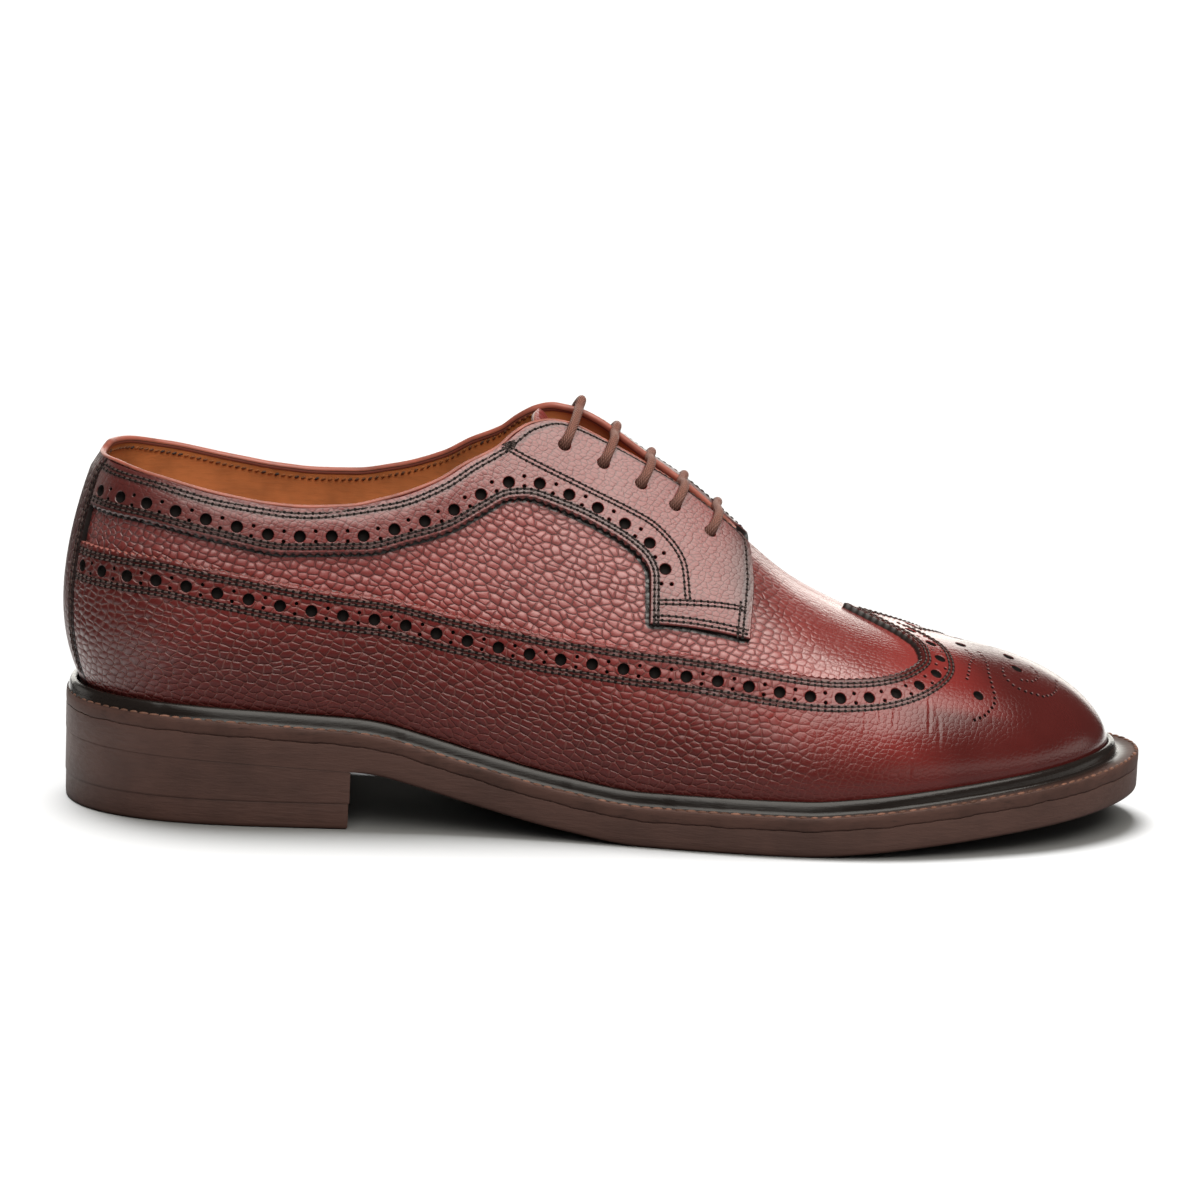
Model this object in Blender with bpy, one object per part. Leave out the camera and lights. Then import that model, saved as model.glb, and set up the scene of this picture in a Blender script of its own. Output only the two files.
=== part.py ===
"""Brogue derby, one right shoe: hollow upper on a welted sole with a stacked heel.

Sizes are millimetres in the tables and become metres when a mesh is made.
The toe points along +X, the outer (lateral) side along -Y, up is +Z.
"""
import math
from collections import namedtuple

import bmesh
import bpy
import numpy as np

# Driving sizes
MM = 0.001
GAP = 0.3
OUTSOLE = 7.0
WELT = 3.6
WALL = 2.2
LEATHER = 1.3
OVERLAY_GAP = 0.4
INSOLE_RISE = 2.0
RIB_HEIGHT = 3.2
RIB_WIDTH = 2.6
TOP_PIECE = 7.0
HEEL_BREAST = 79.0
BREAST_UNDERCUT = 0.6
SOLE_ROUND = 0.9
TONGUE = 1.8
LACE = 3.2
SWELL_PEAK = 0.29
MID_X = 149.73
MID_Y = -1.45

# One row for each station from the heel back (0) to the toe tip (12): the feather edge in plan on
# both sides, the spine above it, the outward swell of the wall, the roundness of side and crown,
# and how far the sole's edge stands out beyond the feather edge.
Station = namedtuple("Station", "lat_x lat_y med_x med_y spine_x spine_y spine_z swell side crown edge")
STATIONS = [
    Station(7.2, 0.0, 7.2, 0.0, 46, 0.0, 128.0, 7.0, 2.4, 3.0, 6.9),
    Station(13.2, -18.4, 13.7, 18.4, 46, 0.0, 128.0, 6.3, 2.4, 3.0, 6.9),
    Station(32.8, -29.1, 33.8, 28.1, 48, 0.0, 128.0, 5.0, 2.4, 2.8, 7.1),
    Station(60.0, -31.0, 62.0, 28.5, 61, 0.0, 128.0, 4.0, 2.4, 2.5, 7.5),
    Station(88.0, -31.0, 91.0, 25.5, 90, 0.0, 125.0, 3.2, 2.2, 2.2, 7.5),
    Station(116.0, -33.0, 120.0, 25.5, 118, 0.5, 116.5, 2.8, 2.0, 2.0, 7.5),
    Station(144.0, -37.5, 149.0, 30.0, 146, 2.0, 105.0, 2.6, 1.9, 2.0, 8.0),
    Station(172.0, -43.0, 178.0, 37.0, 173, 3.0, 87.2, 2.4, 1.9, 2.0, 8.5),
    Station(200.0, -46.0, 206.0, 42.0, 196, 4.0, 67.3, 2.0, 2.0, 2.0, 9.0),
    Station(226.5, -43.1, 233.4, 42.1, 219, 5.0, 55.6, 1.5, 2.1, 2.0, 9.5),
    Station(252.0, -33.8, 259.0, 35.8, 238, 5.0, 49.5, 1.2, 2.3, 2.0, 10.0),
    Station(274.8, -19.2, 279.8, 26.2, 251, 5.0, 46.9, 1.0, 2.4, 2.0, 10.5),
    Station(289.6, 5.0, 289.6, 5.0, 256, 5.0, 45.9, 0.8, 2.4, 2.0, 11.0),
]
TOE = len(STATIONS) - 1
TURN = 2 * TOE

# Height of the outsole's underside along the shoe: heel seat, arch, flat tread, toe spring.
Rocker = namedtuple("Rocker", "x z")
ROCKER = [
    Rocker(-2, 19.0), Rocker(40, 17.8), Rocker(72, 16.3), Rocker(80, 15.8), Rocker(87, 14.8),
    Rocker(95, 12.8), Rocker(104, 10.3), Rocker(114, 7.6), Rocker(135, 2.9), Rocker(158, 0.0),
    Rocker(200, 0.0), Rocker(216, 1.0), Rocker(235, 2.8), Rocker(256, 4.8), Rocker(278, 6.9),
    Rocker(303, 9.6),
]

# Pattern lines are drawn on the upper as (station, rise): rise 0 is the lateral feather edge, 1 the
# ridge over the foot, 2 the medial feather edge.
Top = namedtuple("Top", "station rise")
TOPLINE = [
    Top(0.0, 0.510), Top(0.76, 0.509), Top(1.53, 0.487), Top(2.40, 0.444), Top(2.80, 0.427),
    Top(3.17, 0.420), Top(3.55, 0.424), Top(3.92, 0.448), Top(4.39, 0.511), Top(4.64, 0.570),
    Top(4.96, 0.651), Top(5.10, 0.714), Top(5.28, 0.785), Top(5.50, 0.844), Top(5.72, 0.880),
    Top(6.06, 0.900), Top(6.41, 0.912), Top(6.76, 0.926), Top(7.13, 0.940), Top(7.40, 0.955),
    Top(7.50, 1.0),
]
THROAT = TOPLINE[-1].station
MEDIAL_RISE = 0.015

# Rungs of the eyestay and collar band, from the back strip round to the foot of the facing.
Rung = namedtuple("Rung", "top_station top_rise low_station low_rise")
EYESTAY = [
    Rung(0.68, 0.507, 0.68, 0.403), Rung(1.55, 0.485, 1.50, 0.390), Rung(2.40, 0.442, 2.30, 0.355),
    Rung(3.17, 0.418, 3.00, 0.326), Rung(3.92, 0.446, 3.70, 0.331), Rung(4.39, 0.508, 4.20, 0.370),
    Rung(4.70, 0.583, 4.53, 0.409), Rung(5.00, 0.665, 4.85, 0.471), Rung(5.25, 0.769, 5.10, 0.521),
    Rung(5.60, 0.859, 5.36, 0.541), Rung(6.06, 0.897, 5.70, 0.542), Rung(6.50, 0.913, 6.00, 0.537),
    Rung(6.95, 0.930, 6.25, 0.527), Rung(7.35, 0.940, 6.40, 0.509), Rung(7.52, 0.880, 6.46, 0.479),
    Rung(7.52, 0.690, 6.47, 0.431), Rung(7.46, 0.450, 6.48, 0.367),
]

# Upper edge of the long wing from the back strip to the peak on the ridge, with the station where
# each rung of the piece meets the feather edge.
Wing = namedtuple("Wing", "station rise foot")
WING = [
    Wing(0.68, 0.320, 0.68), Wing(1.70, 0.304, 1.70), Wing(2.45, 0.279, 2.45), Wing(3.20, 0.256, 3.20),
    Wing(3.80, 0.247, 3.80), Wing(4.45, 0.247, 4.45), Wing(5.40, 0.263, 5.40), Wing(6.05, 0.288, 6.05),
    Wing(6.70, 0.322, 6.70), Wing(7.35, 0.366, 7.40), Wing(7.90, 0.408, 8.00), Wing(8.45, 0.455, 8.70),
    Wing(8.90, 0.512, 9.30), Wing(9.24, 0.590, 9.80), Wing(9.47, 0.690, 10.30), Wing(9.51, 0.780, 10.80),
    Wing(9.40, 0.860, 11.30), Wing(9.14, 0.930, 11.70), Wing(8.82, 1.0, 12.0),
]
BACK_STRIP = 0.665
OVERLAY_FOOT = 0.02
WING_BEND = 0.75

# Tongue under the facings: station, half width as rise, extra drop below the facings.
Tongue = namedtuple("Tongue", "station half drop")
TONGUE_ROWS = [
    Tongue(5.02, 0.30, 3.6), Tongue(5.30, 0.31, 2.6), Tongue(5.70, 0.30, 1.4), Tongue(6.20, 0.28, 0.5),
    Tongue(6.70, 0.26, 0.1), Tongue(7.20, 0.24, 0.0), Tongue(7.60, 0.22, 0.0), Tongue(7.95, 0.20, 0.0),
]
EYELET_STATIONS = (5.58, 5.96, 6.33, 6.67, 7.04)
EYELET_RISE = 0.732
LACE_ARCH = 0.2

OXBLOOD = (0.150, 0.030, 0.026)
WING_RED = (0.120, 0.024, 0.021)
LINING_TAN = (0.330, 0.170, 0.070)
WELT_BROWN = (0.045, 0.026, 0.019)
SOLE_BROWN = (0.060, 0.036, 0.028)
HEEL_BROWN = (0.055, 0.033, 0.026)
LACE_BROWN = (0.075, 0.040, 0.030)


# Curve and surface functions
def closed_curve(values):
    """Periodic cubic curve through values standing at whole numbers."""
    knots = np.asarray(values, float)
    count = len(knots)
    system = 4 * np.eye(count) + np.roll(np.eye(count), 1, 0) + np.roll(np.eye(count), -1, 0)
    bend = np.linalg.solve(system, 6 * (np.roll(knots, -1) - 2 * knots + np.roll(knots, 1)))

    def at(place):
        place = np.mod(place, count)
        low = np.floor(place).astype(int) % count
        high = (low + 1) % count
        b = place - np.floor(place)
        a = 1 - b
        return a * knots[low] + b * knots[high] + ((a**3 - a) * bend[low] + (b**3 - b) * bend[high]) / 6

    return at


def station_curve(lateral, medial):
    """Closed curve over the stations: lateral side heel to toe, medial side back to the heel."""
    outer = [getattr(row, lateral) for row in STATIONS]
    inner = [getattr(row, medial) for row in STATIONS]
    return closed_curve(outer + inner[-2:0:-1])


def open_curve(places, values):
    """Cubic curve through (place, value) pairs that never overshoots its rows."""
    x = np.asarray(places, float)
    y = np.asarray(values, float)
    step = np.diff(x)
    rise = np.diff(y) / step
    slope = np.zeros(len(x))
    slope[0] = rise[0]
    slope[-1] = rise[-1]
    for k in range(1, len(x) - 1):
        if rise[k - 1] * rise[k] > 0:
            before = 2 * step[k] + step[k - 1]
            after = step[k] + 2 * step[k - 1]
            slope[k] = (before + after) / (before / rise[k - 1] + after / rise[k])

    def at(place):
        place = np.clip(place, x[0], x[-1])
        k = np.clip(np.searchsorted(x, place, side="right") - 1, 0, len(x) - 2)
        t = (place - x[k]) / step[k]
        start = (1 + 2 * t) * (1 - t) ** 2 * y[k] + t * (1 - t) ** 2 * step[k] * slope[k]
        end = t * t * (3 - 2 * t) * y[k + 1] + t * t * (t - 1) * step[k] * slope[k + 1]
        return start + end

    return at


feather_x = station_curve("lat_x", "med_x")
feather_y = station_curve("lat_y", "med_y")
spine_x = station_curve("spine_x", "spine_x")
spine_y = station_curve("spine_y", "spine_y")
spine_z = station_curve("spine_z", "spine_z")
swell = station_curve("swell", "swell")
side_power = station_curve("side", "side")
crown_power = station_curve("crown", "crown")
sole_edge = station_curve("edge", "edge")
underside = open_curve([row.x for row in ROCKER], [row.z for row in ROCKER])
topline = open_curve([row.station for row in TOPLINE], [row.rise for row in TOPLINE])
TOE_FALL = (STATIONS[-1].spine_z - STATIONS[-4].spine_z) / (STATIONS[-1].spine_x - STATIONS[-4].spine_x)
FALL_START = STATIONS[-5].spine_x
FALL_END = STATIONS[-2].spine_x


def feather(around):
    return np.stack([feather_x(around), feather_y(around)], -1)


def outward(around):
    """Unit normal of the feather edge in plan, pointing out of the shoe."""
    step = 1e-3
    run = feather(around + step) - feather(around - step)
    normal = np.stack([run[..., 1], -run[..., 0]], -1)
    return normal / np.linalg.norm(normal, axis=-1, keepdims=True)


def plan_ring(around, offset):
    """Feather edge moved outward in plan by an offset."""
    return feather(around) + outward(around) * np.asarray(offset, float)[..., None]


def seat(x):
    """Height of the upper's lower edge on the welt."""
    return underside(x) + OUTSOLE + GAP + WELT + GAP


def skin(station, rise):
    """Point of the upper's outer surface; stations past heel or toe fold to the other side."""
    station, rise = np.broadcast_arrays(np.asarray(station, float), np.asarray(rise, float))
    folded = (station < 0) | (station > TOE)
    station = np.where(station < 0, -station, np.where(station > TOE, TURN - station, station))
    rise = np.where(folded, 2 - rise, rise)
    around = np.where(rise <= 1, station, TURN - station)
    angle = np.clip(np.where(rise <= 1, rise, 2 - rise), 0, 1) ** (crown_power(around) / 2) * math.pi / 2
    foot = feather(around)
    spine = np.stack([spine_x(around), spine_y(around)], -1)
    reach = np.cos(angle) ** (2 / side_power(around))
    climb = np.sin(angle) ** (2 / crown_power(around))
    run = foot - spine
    blend = np.clip((spine[..., 0] - FALL_START) / (FALL_END - FALL_START), 0, 1)
    fall = TOE_FALL * blend * blend * (3 - 2 * blend) * run[..., 0]
    crest = spine_z(around) + fall
    height = spine_z(around) + fall * reach - (crest - seat(foot[..., 0])) * (1 - climb)
    swelling = (1 - SWELL_PEAK) * climb / (SWELL_PEAK + (1 - 2 * SWELL_PEAK) * climb)
    out = swell(around) * np.sin(math.pi * swelling)
    plan = spine + run * reach[..., None] + outward(around) * out[..., None]
    return np.concatenate([plan, height[..., None]], -1)


def skin_normal(station, rise):
    """Unit normal of the upper, pointing out of the shoe."""
    station, rise = np.broadcast_arrays(np.asarray(station, float), np.asarray(rise, float))
    station = np.where(np.abs(rise - 1) < 0.03, np.minimum(station, TOE - 0.12), station)
    rise = np.clip(rise, 0.004, 1.996)
    step = 2e-3
    along = skin(station + step, rise) - skin(station - step, rise)
    across = skin(station, rise + step) - skin(station, rise - step)
    normal = np.cross(along, across)
    return normal / np.linalg.norm(normal, axis=-1, keepdims=True)


def raised(station, rise, offset):
    """Point standing an offset above (or, if negative, below) the upper's outer surface."""
    lift = np.asarray(offset, float)
    normal = skin_normal(station, rise)
    return skin(station, rise) + normal * np.broadcast_to(lift, normal.shape[:-1])[..., None]


# Mesh helpers
def material(name, colour, roughness):
    made = bpy.data.materials.new(name)
    made.use_nodes = True
    shader = made.node_tree.nodes["Principled BSDF"]
    shader.inputs["Base Color"].default_value = (*colour, 1.0)
    shader.inputs["Roughness"].default_value = roughness
    shader.inputs["Metallic"].default_value = 0.0
    made.diffuse_color = (*colour, 1.0)
    return made


def add_solid(name, points, faces, look):
    """Closed solid from points in millimetres; coinciding points are joined."""
    centred = np.asarray(points, float) - np.array([MID_X, MID_Y, 0.0])
    mesh = bpy.data.meshes.new(name)
    mesh.from_pydata([tuple(p) for p in centred * MM], [], faces)
    work = bmesh.new()
    work.from_mesh(mesh)
    bmesh.ops.remove_doubles(work, verts=work.verts, dist=1e-6)
    bmesh.ops.dissolve_degenerate(work, edges=work.edges, dist=1e-6)
    bmesh.ops.triangulate(work, faces=work.faces)
    bmesh.ops.recalc_face_normals(work, faces=work.faces)
    work.to_mesh(mesh)
    work.free()
    mesh.materials.append(look)
    made = bpy.data.objects.new(name, mesh)
    bpy.context.scene.collection.objects.link(made)
    return made


def shell(name, inner, outer, look, closed=False, open_end=None):
    """Solid between two grids of points; open_end marks the columns whose last row is an edge."""
    columns, rows = inner.shape[:2]
    count = columns * rows
    points = np.concatenate([inner.reshape(-1, 3), outer.reshape(-1, 3)])
    last = rows - 1
    faces = []
    spans = columns if closed else columns - 1
    for u in range(spans):
        w = (u + 1) % columns
        for v in range(last):
            quad = [u * rows + v, w * rows + v, w * rows + v + 1, u * rows + v + 1]
            faces.append([k + count for k in quad])
            faces.append(quad[::-1])
        faces.append([u * rows, w * rows, w * rows + count, u * rows + count])
        if open_end is None or open_end[u]:
            faces.append([w * rows + last, u * rows + last, u * rows + last + count, w * rows + last + count])
    if not closed:
        for u in (0, columns - 1):
            for v in range(last):
                faces.append([u * rows + v, u * rows + v + 1, u * rows + v + 1 + count, u * rows + v + count])
    return add_solid(name, points, faces, look)


def ring_solid(name, loops, look):
    """Ring swept round the shoe: each loop is one line of the section, all the way round."""
    lines = np.stack(loops, 1)
    columns, rows = lines.shape[:2]
    faces = []
    for u in range(columns):
        w = (u + 1) % columns
        for v in range(rows):
            t = (v + 1) % rows
            faces.append([u * rows + v, w * rows + v, w * rows + t, u * rows + t])
    return add_solid(name, lines.reshape(-1, 3), faces, look)


def plate_solid(name, loops, look):
    """Plate built from closed outlines one above the other, capped by strips across the shoe."""
    lines = np.stack(loops, 0)
    levels, columns = lines.shape[:2]
    half = columns // 2
    faces = []
    for k in range(levels - 1):
        for u in range(columns):
            w = (u + 1) % columns
            faces.append([k * columns + u, k * columns + w, (k + 1) * columns + w, (k + 1) * columns + u])
    for k in (0, levels - 1):
        for u in range(half):
            quad = [u, u + 1, (columns - u - 1) % columns, (columns - u) % columns]
            face = []
            for corner in quad:
                if k * columns + corner not in face:
                    face.append(k * columns + corner)
            faces.append(face)
    return add_solid(name, lines.reshape(-1, 3), faces, look)


def stations_round():
    """Columns round the shoe, closer together where heel and toe curve tightly."""
    one_side = np.concatenate([
        np.linspace(0, 2, 8, endpoint=False), np.linspace(2, 6, 9, endpoint=False),
        np.linspace(6, 8.5, 10, endpoint=False), np.linspace(8.5, 10.4, 7, endpoint=False),
        np.linspace(10.4, TOE, 12),
    ])
    return np.concatenate([one_side, TURN - one_side[-2:0:-1]])


def with_height(plan, height):
    return np.concatenate([plan, np.asarray(height, float)[..., None]], -1)


# Sole, heel, welt and insole
def build_outsole(around, look):
    edge = sole_edge(around)
    tread = plan_ring(around, edge - SOLE_ROUND)
    side = plan_ring(around, edge)
    loops = [
        with_height(tread, underside(tread[:, 0])),
        with_height(side, underside(side[:, 0]) + SOLE_ROUND),
        with_height(side, underside(side[:, 0]) + OUTSOLE),
    ]
    return plate_solid("outsole", loops, look)


def heel_outline(offset, breast):
    """D-shaped outline of the heel: the sole's edge from breast to breast round the back."""
    fine = np.linspace(0, 5, 501)
    ends = []
    for sign in (-1, 1):
        plan = plan_ring(sign * fine, sole_edge(sign * fine) + offset)
        ends.append(sign * np.interp(breast, plan[:, 0], fine))
    turn = np.linspace(-1, 1, 25)
    around = np.interp(np.sign(turn) * np.abs(turn) ** 1.3, [-1, 0, 1], [ends[0], 0, ends[1]])
    return plan_ring(around, sole_edge(around) + offset)


def build_heel(stack_look, piece_look):
    """Stacked leather heel under the seat and its rubber top piece, breast undercut forward."""
    parts = []
    lines = []
    for share in (0.0, 1.0):
        lines.append(heel_outline(-0.4 * share, HEEL_BREAST - BREAST_UNDERCUT * share))
    count = len(lines[0])

    def level(share, height):
        plan = lines[0] * (1 - share) + lines[1] * share
        return with_height(plan, height if np.ndim(height) else np.full(count, height))

    top = underside(lines[0][:, 0]) - GAP
    split = 1 - TOP_PIECE / 17.0
    stack = [level(split, TOP_PIECE + GAP), level(0.0, top)]
    piece = [level(1.0, 0.0), level(split, TOP_PIECE)]
    for name, loops, look in (("heel_stack", stack, stack_look), ("heel_top_piece", piece, piece_look)):
        points = np.concatenate(loops)
        faces = []
        for u in range(count):
            w = (u + 1) % count
            faces.append([u, w, count + w, count + u])
        for base in (0, count):
            for u in range(count // 2):
                quad = [base + u, base + u + 1, base + count - 2 - u, base + count - 1 - u]
                faces.append(list(dict.fromkeys(quad)))
        parts.append(add_solid(name, points, faces, look))
    return parts


def wall_lean(around, height):
    """How far the wing's outer face stands out from the feather edge at a height above the welt."""
    station = np.where(around > TOE, TURN - around, around)
    rises = np.linspace(0.0, 0.3, 61)
    lean = np.zeros(len(around))
    base = feather(around)
    normal = outward(around)
    for k, rise in enumerate(rises):
        place = np.where(around > TOE, 2 - rise, rise)
        point = raised(station, place, OVERLAY_GAP + LEATHER)
        out = ((point[:, :2] - base) * normal).sum(-1)
        low = point[:, 2] < seat(base[:, 0]) + height
        lean = np.where(low, np.maximum(lean, out), lean)
    return lean


def build_welt(around, look):
    """Flat welt with the rolled storm rib that hugs the upper."""
    edge = sole_edge(around)
    lean = wall_lean(around, RIB_HEIGHT + 1.0) + GAP
    foot = np.full(len(around), LEATHER + OVERLAY_GAP + GAP)
    inner = -WALL - GAP
    bottom = OUTSOLE + GAP
    top = bottom + WELT

    def line(offset, height):
        plan = plan_ring(around, offset + np.zeros(len(around)))
        return with_height(plan, underside(plan[:, 0]) + height)

    loops = [
        line(inner, bottom), line(edge, bottom), line(edge, top),
        line(lean + RIB_WIDTH, top), line(lean + RIB_WIDTH * 0.75, top + RIB_HEIGHT * 0.9),
        line(lean + RIB_WIDTH * 0.1, top + RIB_HEIGHT * 0.9),
        line(np.maximum(foot, lean - 0.2), top), line(inner, top),
    ]
    return ring_solid("storm_welt", loops, look)


def build_insole(around, look):
    plan = plan_ring(around, np.full(len(around), -WALL - 2 * GAP - 0.2))
    low = underside(plan[:, 0]) + OUTSOLE + GAP
    return plate_solid("insole", [with_height(plan, low), with_height(plan, low + WELT + GAP + INSOLE_RISE)], look)


# Upper and the pieces laid on it
def build_upper(around, look):
    """Vamp and quarters as one wall, open below and along collar and throat."""
    rows = 10
    station = np.where(around > TOE, TURN - around, around)
    medial = around > TOE
    ahead = station >= THROAT
    reach = np.where(ahead, 1.0, np.minimum(topline(station) + np.where(medial, MEDIAL_RISE, 0.0), 1.0))
    share = np.linspace(0, 1, rows) ** 0.95
    rise = reach[:, None] * share[None]
    rise = np.where(medial[:, None], 2 - rise, rise)
    spread = np.broadcast_to(station[:, None], rise.shape)
    outer = raised(spread, rise, 0.0)
    inner = raised(spread, rise, -WALL)
    closing = ahead & np.roll(ahead, -1)
    return shell("upper", inner, outer, look, closed=True, open_end=~closing)


def laid_on(name, station, rise, look):
    """Piece of leather lying on the upper over a grid of stations and rises."""
    inner = raised(station, rise, OVERLAY_GAP)
    outer = raised(station, rise, OVERLAY_GAP + LEATHER)
    return shell(name, inner, outer, look)


def wing_grid(shares, rows):
    """Lateral half of the long wing: rungs from the feather edge to the wing's upper edge."""
    count = np.arange(len(WING))
    edge_s = open_curve(count, [row.station for row in WING])
    edge_r = open_curve(count, [row.rise for row in WING])
    foot = open_curve(count, [row.foot for row in WING])
    place = shares * (len(WING) - 1)
    v = np.linspace(0, 1, rows)[None]
    station = foot(place)[:, None] * (1 - v) + edge_s(place)[:, None] * v
    rise = OVERLAY_FOOT * (1 - v) + edge_r(place)[:, None] * v
    tip = WING[-1]
    toe_s = np.where(v < WING_BEND, TOE, TOE + (tip.station - TOE) * (v - WING_BEND) / (1 - WING_BEND))
    toe_r = np.minimum(v / WING_BEND, 1.0)
    pull = (shares ** 5)[:, None]
    station = station + pull * (toe_s - (tip.foot * (1 - v) + tip.station * v))
    rise = rise + pull * (toe_r - v)
    return station, rise


def build_wing(look):
    feet = np.concatenate([
        np.linspace(WING[0].foot, 2, 7, endpoint=False), np.linspace(2, 3.5, 4, endpoint=False), np.linspace(3.5, 8.5, 9, endpoint=False),
        np.linspace(8.5, 10.4, 8, endpoint=False), np.linspace(10.4, TOE, 13),
    ])
    shares = np.interp(feet, [row.foot for row in WING], np.linspace(0, 1, len(WING)))
    station, rise = wing_grid(shares, 11)
    station = np.concatenate([station, station[-2::-1]])
    rise = np.concatenate([rise, 2 - rise[-2::-1]])
    return laid_on("wing", station, rise, look)


def build_eyestay(name, medial, look):
    count = np.arange(len(EYESTAY))
    place = np.linspace(0, len(EYESTAY) - 1, 37)
    v = np.linspace(0, 1, 6)[None]
    column = [open_curve(count, [row[k] for row in EYESTAY])(place)[:, None] for k in range(4)]
    station = column[2] * (1 - v) + column[0] * v
    rise = column[3] * (1 - v) + column[1] * v
    if medial:
        rise = 2 - rise - MEDIAL_RISE
    return laid_on(name, station, rise, look)


def build_back_strip(look):
    station = np.linspace(-BACK_STRIP, BACK_STRIP, 9)[:, None]
    rise = OVERLAY_FOOT + np.linspace(0.0, 1.0, 10)[None] * (topline(np.abs(station)) - 0.004 - OVERLAY_FOOT)
    return laid_on("back_strip", *np.broadcast_arrays(station, rise), look)


def build_tongue(look):
    count = [row.station for row in TONGUE_ROWS]
    half = open_curve(count, [row.half for row in TONGUE_ROWS])
    drop = open_curve(count, [row.drop for row in TONGUE_ROWS])
    station = np.linspace(count[0], count[-1], 13)[:, None]
    across = np.linspace(-1, 1, 9)[None]
    rise = 1 + across * half(station)
    below = -WALL - GAP - 0.2 - drop(station) * (1 - across * across)
    spread = np.broadcast_to(station, rise.shape)
    outer = raised(spread, rise, below)
    inner = raised(spread, rise, below - TONGUE)
    return shell("tongue", inner, outer, look)


def build_lace_bar(number, station, look):
    """One bar of lace over the facings, arched toward the toe as it crosses the sloping ridge."""
    sides = 6
    rings = 8
    rise = np.linspace(EYELET_RISE, 2 - EYELET_RISE - MEDIAL_RISE, rings)
    place = station + LACE_ARCH * (1 - ((rise - 1) / (1 - EYELET_RISE)) ** 2)
    middle = raised(place, rise, OVERLAY_GAP + LEATHER + GAP + 0.15 + LACE / 2)
    run = np.gradient(middle, axis=0)
    run /= np.linalg.norm(run, axis=1, keepdims=True)
    up = skin_normal(place, rise)
    up -= (up * run).sum(1, keepdims=True) * run
    up /= np.linalg.norm(up, axis=1, keepdims=True)
    beside = np.cross(run, up)
    turn = np.arange(sides) * 2 * math.pi / sides
    ring = np.cos(turn)[None, :, None] * up[:, None] + np.sin(turn)[None, :, None] * beside[:, None]
    points = (middle[:, None] + ring * LACE / 2).reshape(-1, 3)
    faces = []
    for u in range(rings - 1):
        for v in range(sides):
            t = (v + 1) % sides
            faces.append([u * sides + v, (u + 1) * sides + v, (u + 1) * sides + t, u * sides + t])
    faces.append(list(range(sides))[::-1])
    faces.append([(rings - 1) * sides + v for v in range(sides)])
    return add_solid("lace_bar_%d" % number, points, faces, look)


def main():
    for old in list(bpy.data.objects):
        bpy.data.objects.remove(old, do_unlink=True)
    oxblood = material("oxblood_leather", OXBLOOD, 0.42)
    wing_red = material("burnished_leather", WING_RED, 0.34)
    tan = material("tan_leather", LINING_TAN, 0.6)
    welt_brown = material("welt_leather", WELT_BROWN, 0.45)
    sole_brown = material("sole_rubber", SOLE_BROWN, 0.7)
    heel_brown = material("heel_leather", HEEL_BROWN, 0.6)
    lace_brown = material("lace_cotton", LACE_BROWN, 0.7)
    around = stations_round()
    build_outsole(around, sole_brown)
    build_heel(heel_brown, sole_brown)
    build_welt(around, welt_brown)
    build_insole(around, tan)
    build_upper(around, oxblood)
    build_wing(wing_red)
    build_eyestay("eyestay_lateral", False, oxblood)
    build_eyestay("eyestay_medial", True, oxblood)
    build_back_strip(oxblood)
    build_tongue(oxblood)
    for number, station in enumerate(EYELET_STATIONS, 1):
        build_lace_bar(number, station, lace_brown)


main()
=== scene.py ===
"""Looks of a brogue derby shoe: leather pieces, stitching, sole and lace laid over the fixed frame.

Sizes in the tables are millimetres on the same last as the solids; meshes are made in metres.
A place on the upper is (station, rise): stations run from the heel back (0) to the toe tip (12),
rise 0 is the lateral feather edge, 1 the ridge over the foot and 2 the medial feather edge.
"""
import math
from collections import namedtuple

import bpy
import numpy as np
from bpy.props import FloatProperty, FloatVectorProperty, PointerProperty
from mathutils import Matrix, Vector
from mathutils.geometry import delaunay_2d_cdt


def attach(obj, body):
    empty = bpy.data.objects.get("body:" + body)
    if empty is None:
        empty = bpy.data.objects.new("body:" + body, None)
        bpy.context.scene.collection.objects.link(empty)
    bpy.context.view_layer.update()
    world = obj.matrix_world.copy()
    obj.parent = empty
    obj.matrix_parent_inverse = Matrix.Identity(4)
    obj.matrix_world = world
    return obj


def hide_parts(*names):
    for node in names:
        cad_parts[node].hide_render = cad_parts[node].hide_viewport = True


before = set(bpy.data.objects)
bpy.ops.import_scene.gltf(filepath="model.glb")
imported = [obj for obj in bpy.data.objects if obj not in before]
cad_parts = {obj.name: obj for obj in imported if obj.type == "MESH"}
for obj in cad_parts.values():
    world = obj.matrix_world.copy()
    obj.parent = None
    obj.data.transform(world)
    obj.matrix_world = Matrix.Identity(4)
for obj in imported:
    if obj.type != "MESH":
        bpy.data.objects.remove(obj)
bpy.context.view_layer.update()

bl_info = {
    "name": "Brogue derby",
    "version": (1, 0, 0),
    "blender": (4, 5, 0),
    "location": "3D View > Sidebar > Brogue",
    "description": "Builds the leather pieces, stitching, sole and lace of a brogue derby",
    "category": "Add Mesh",
}

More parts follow.
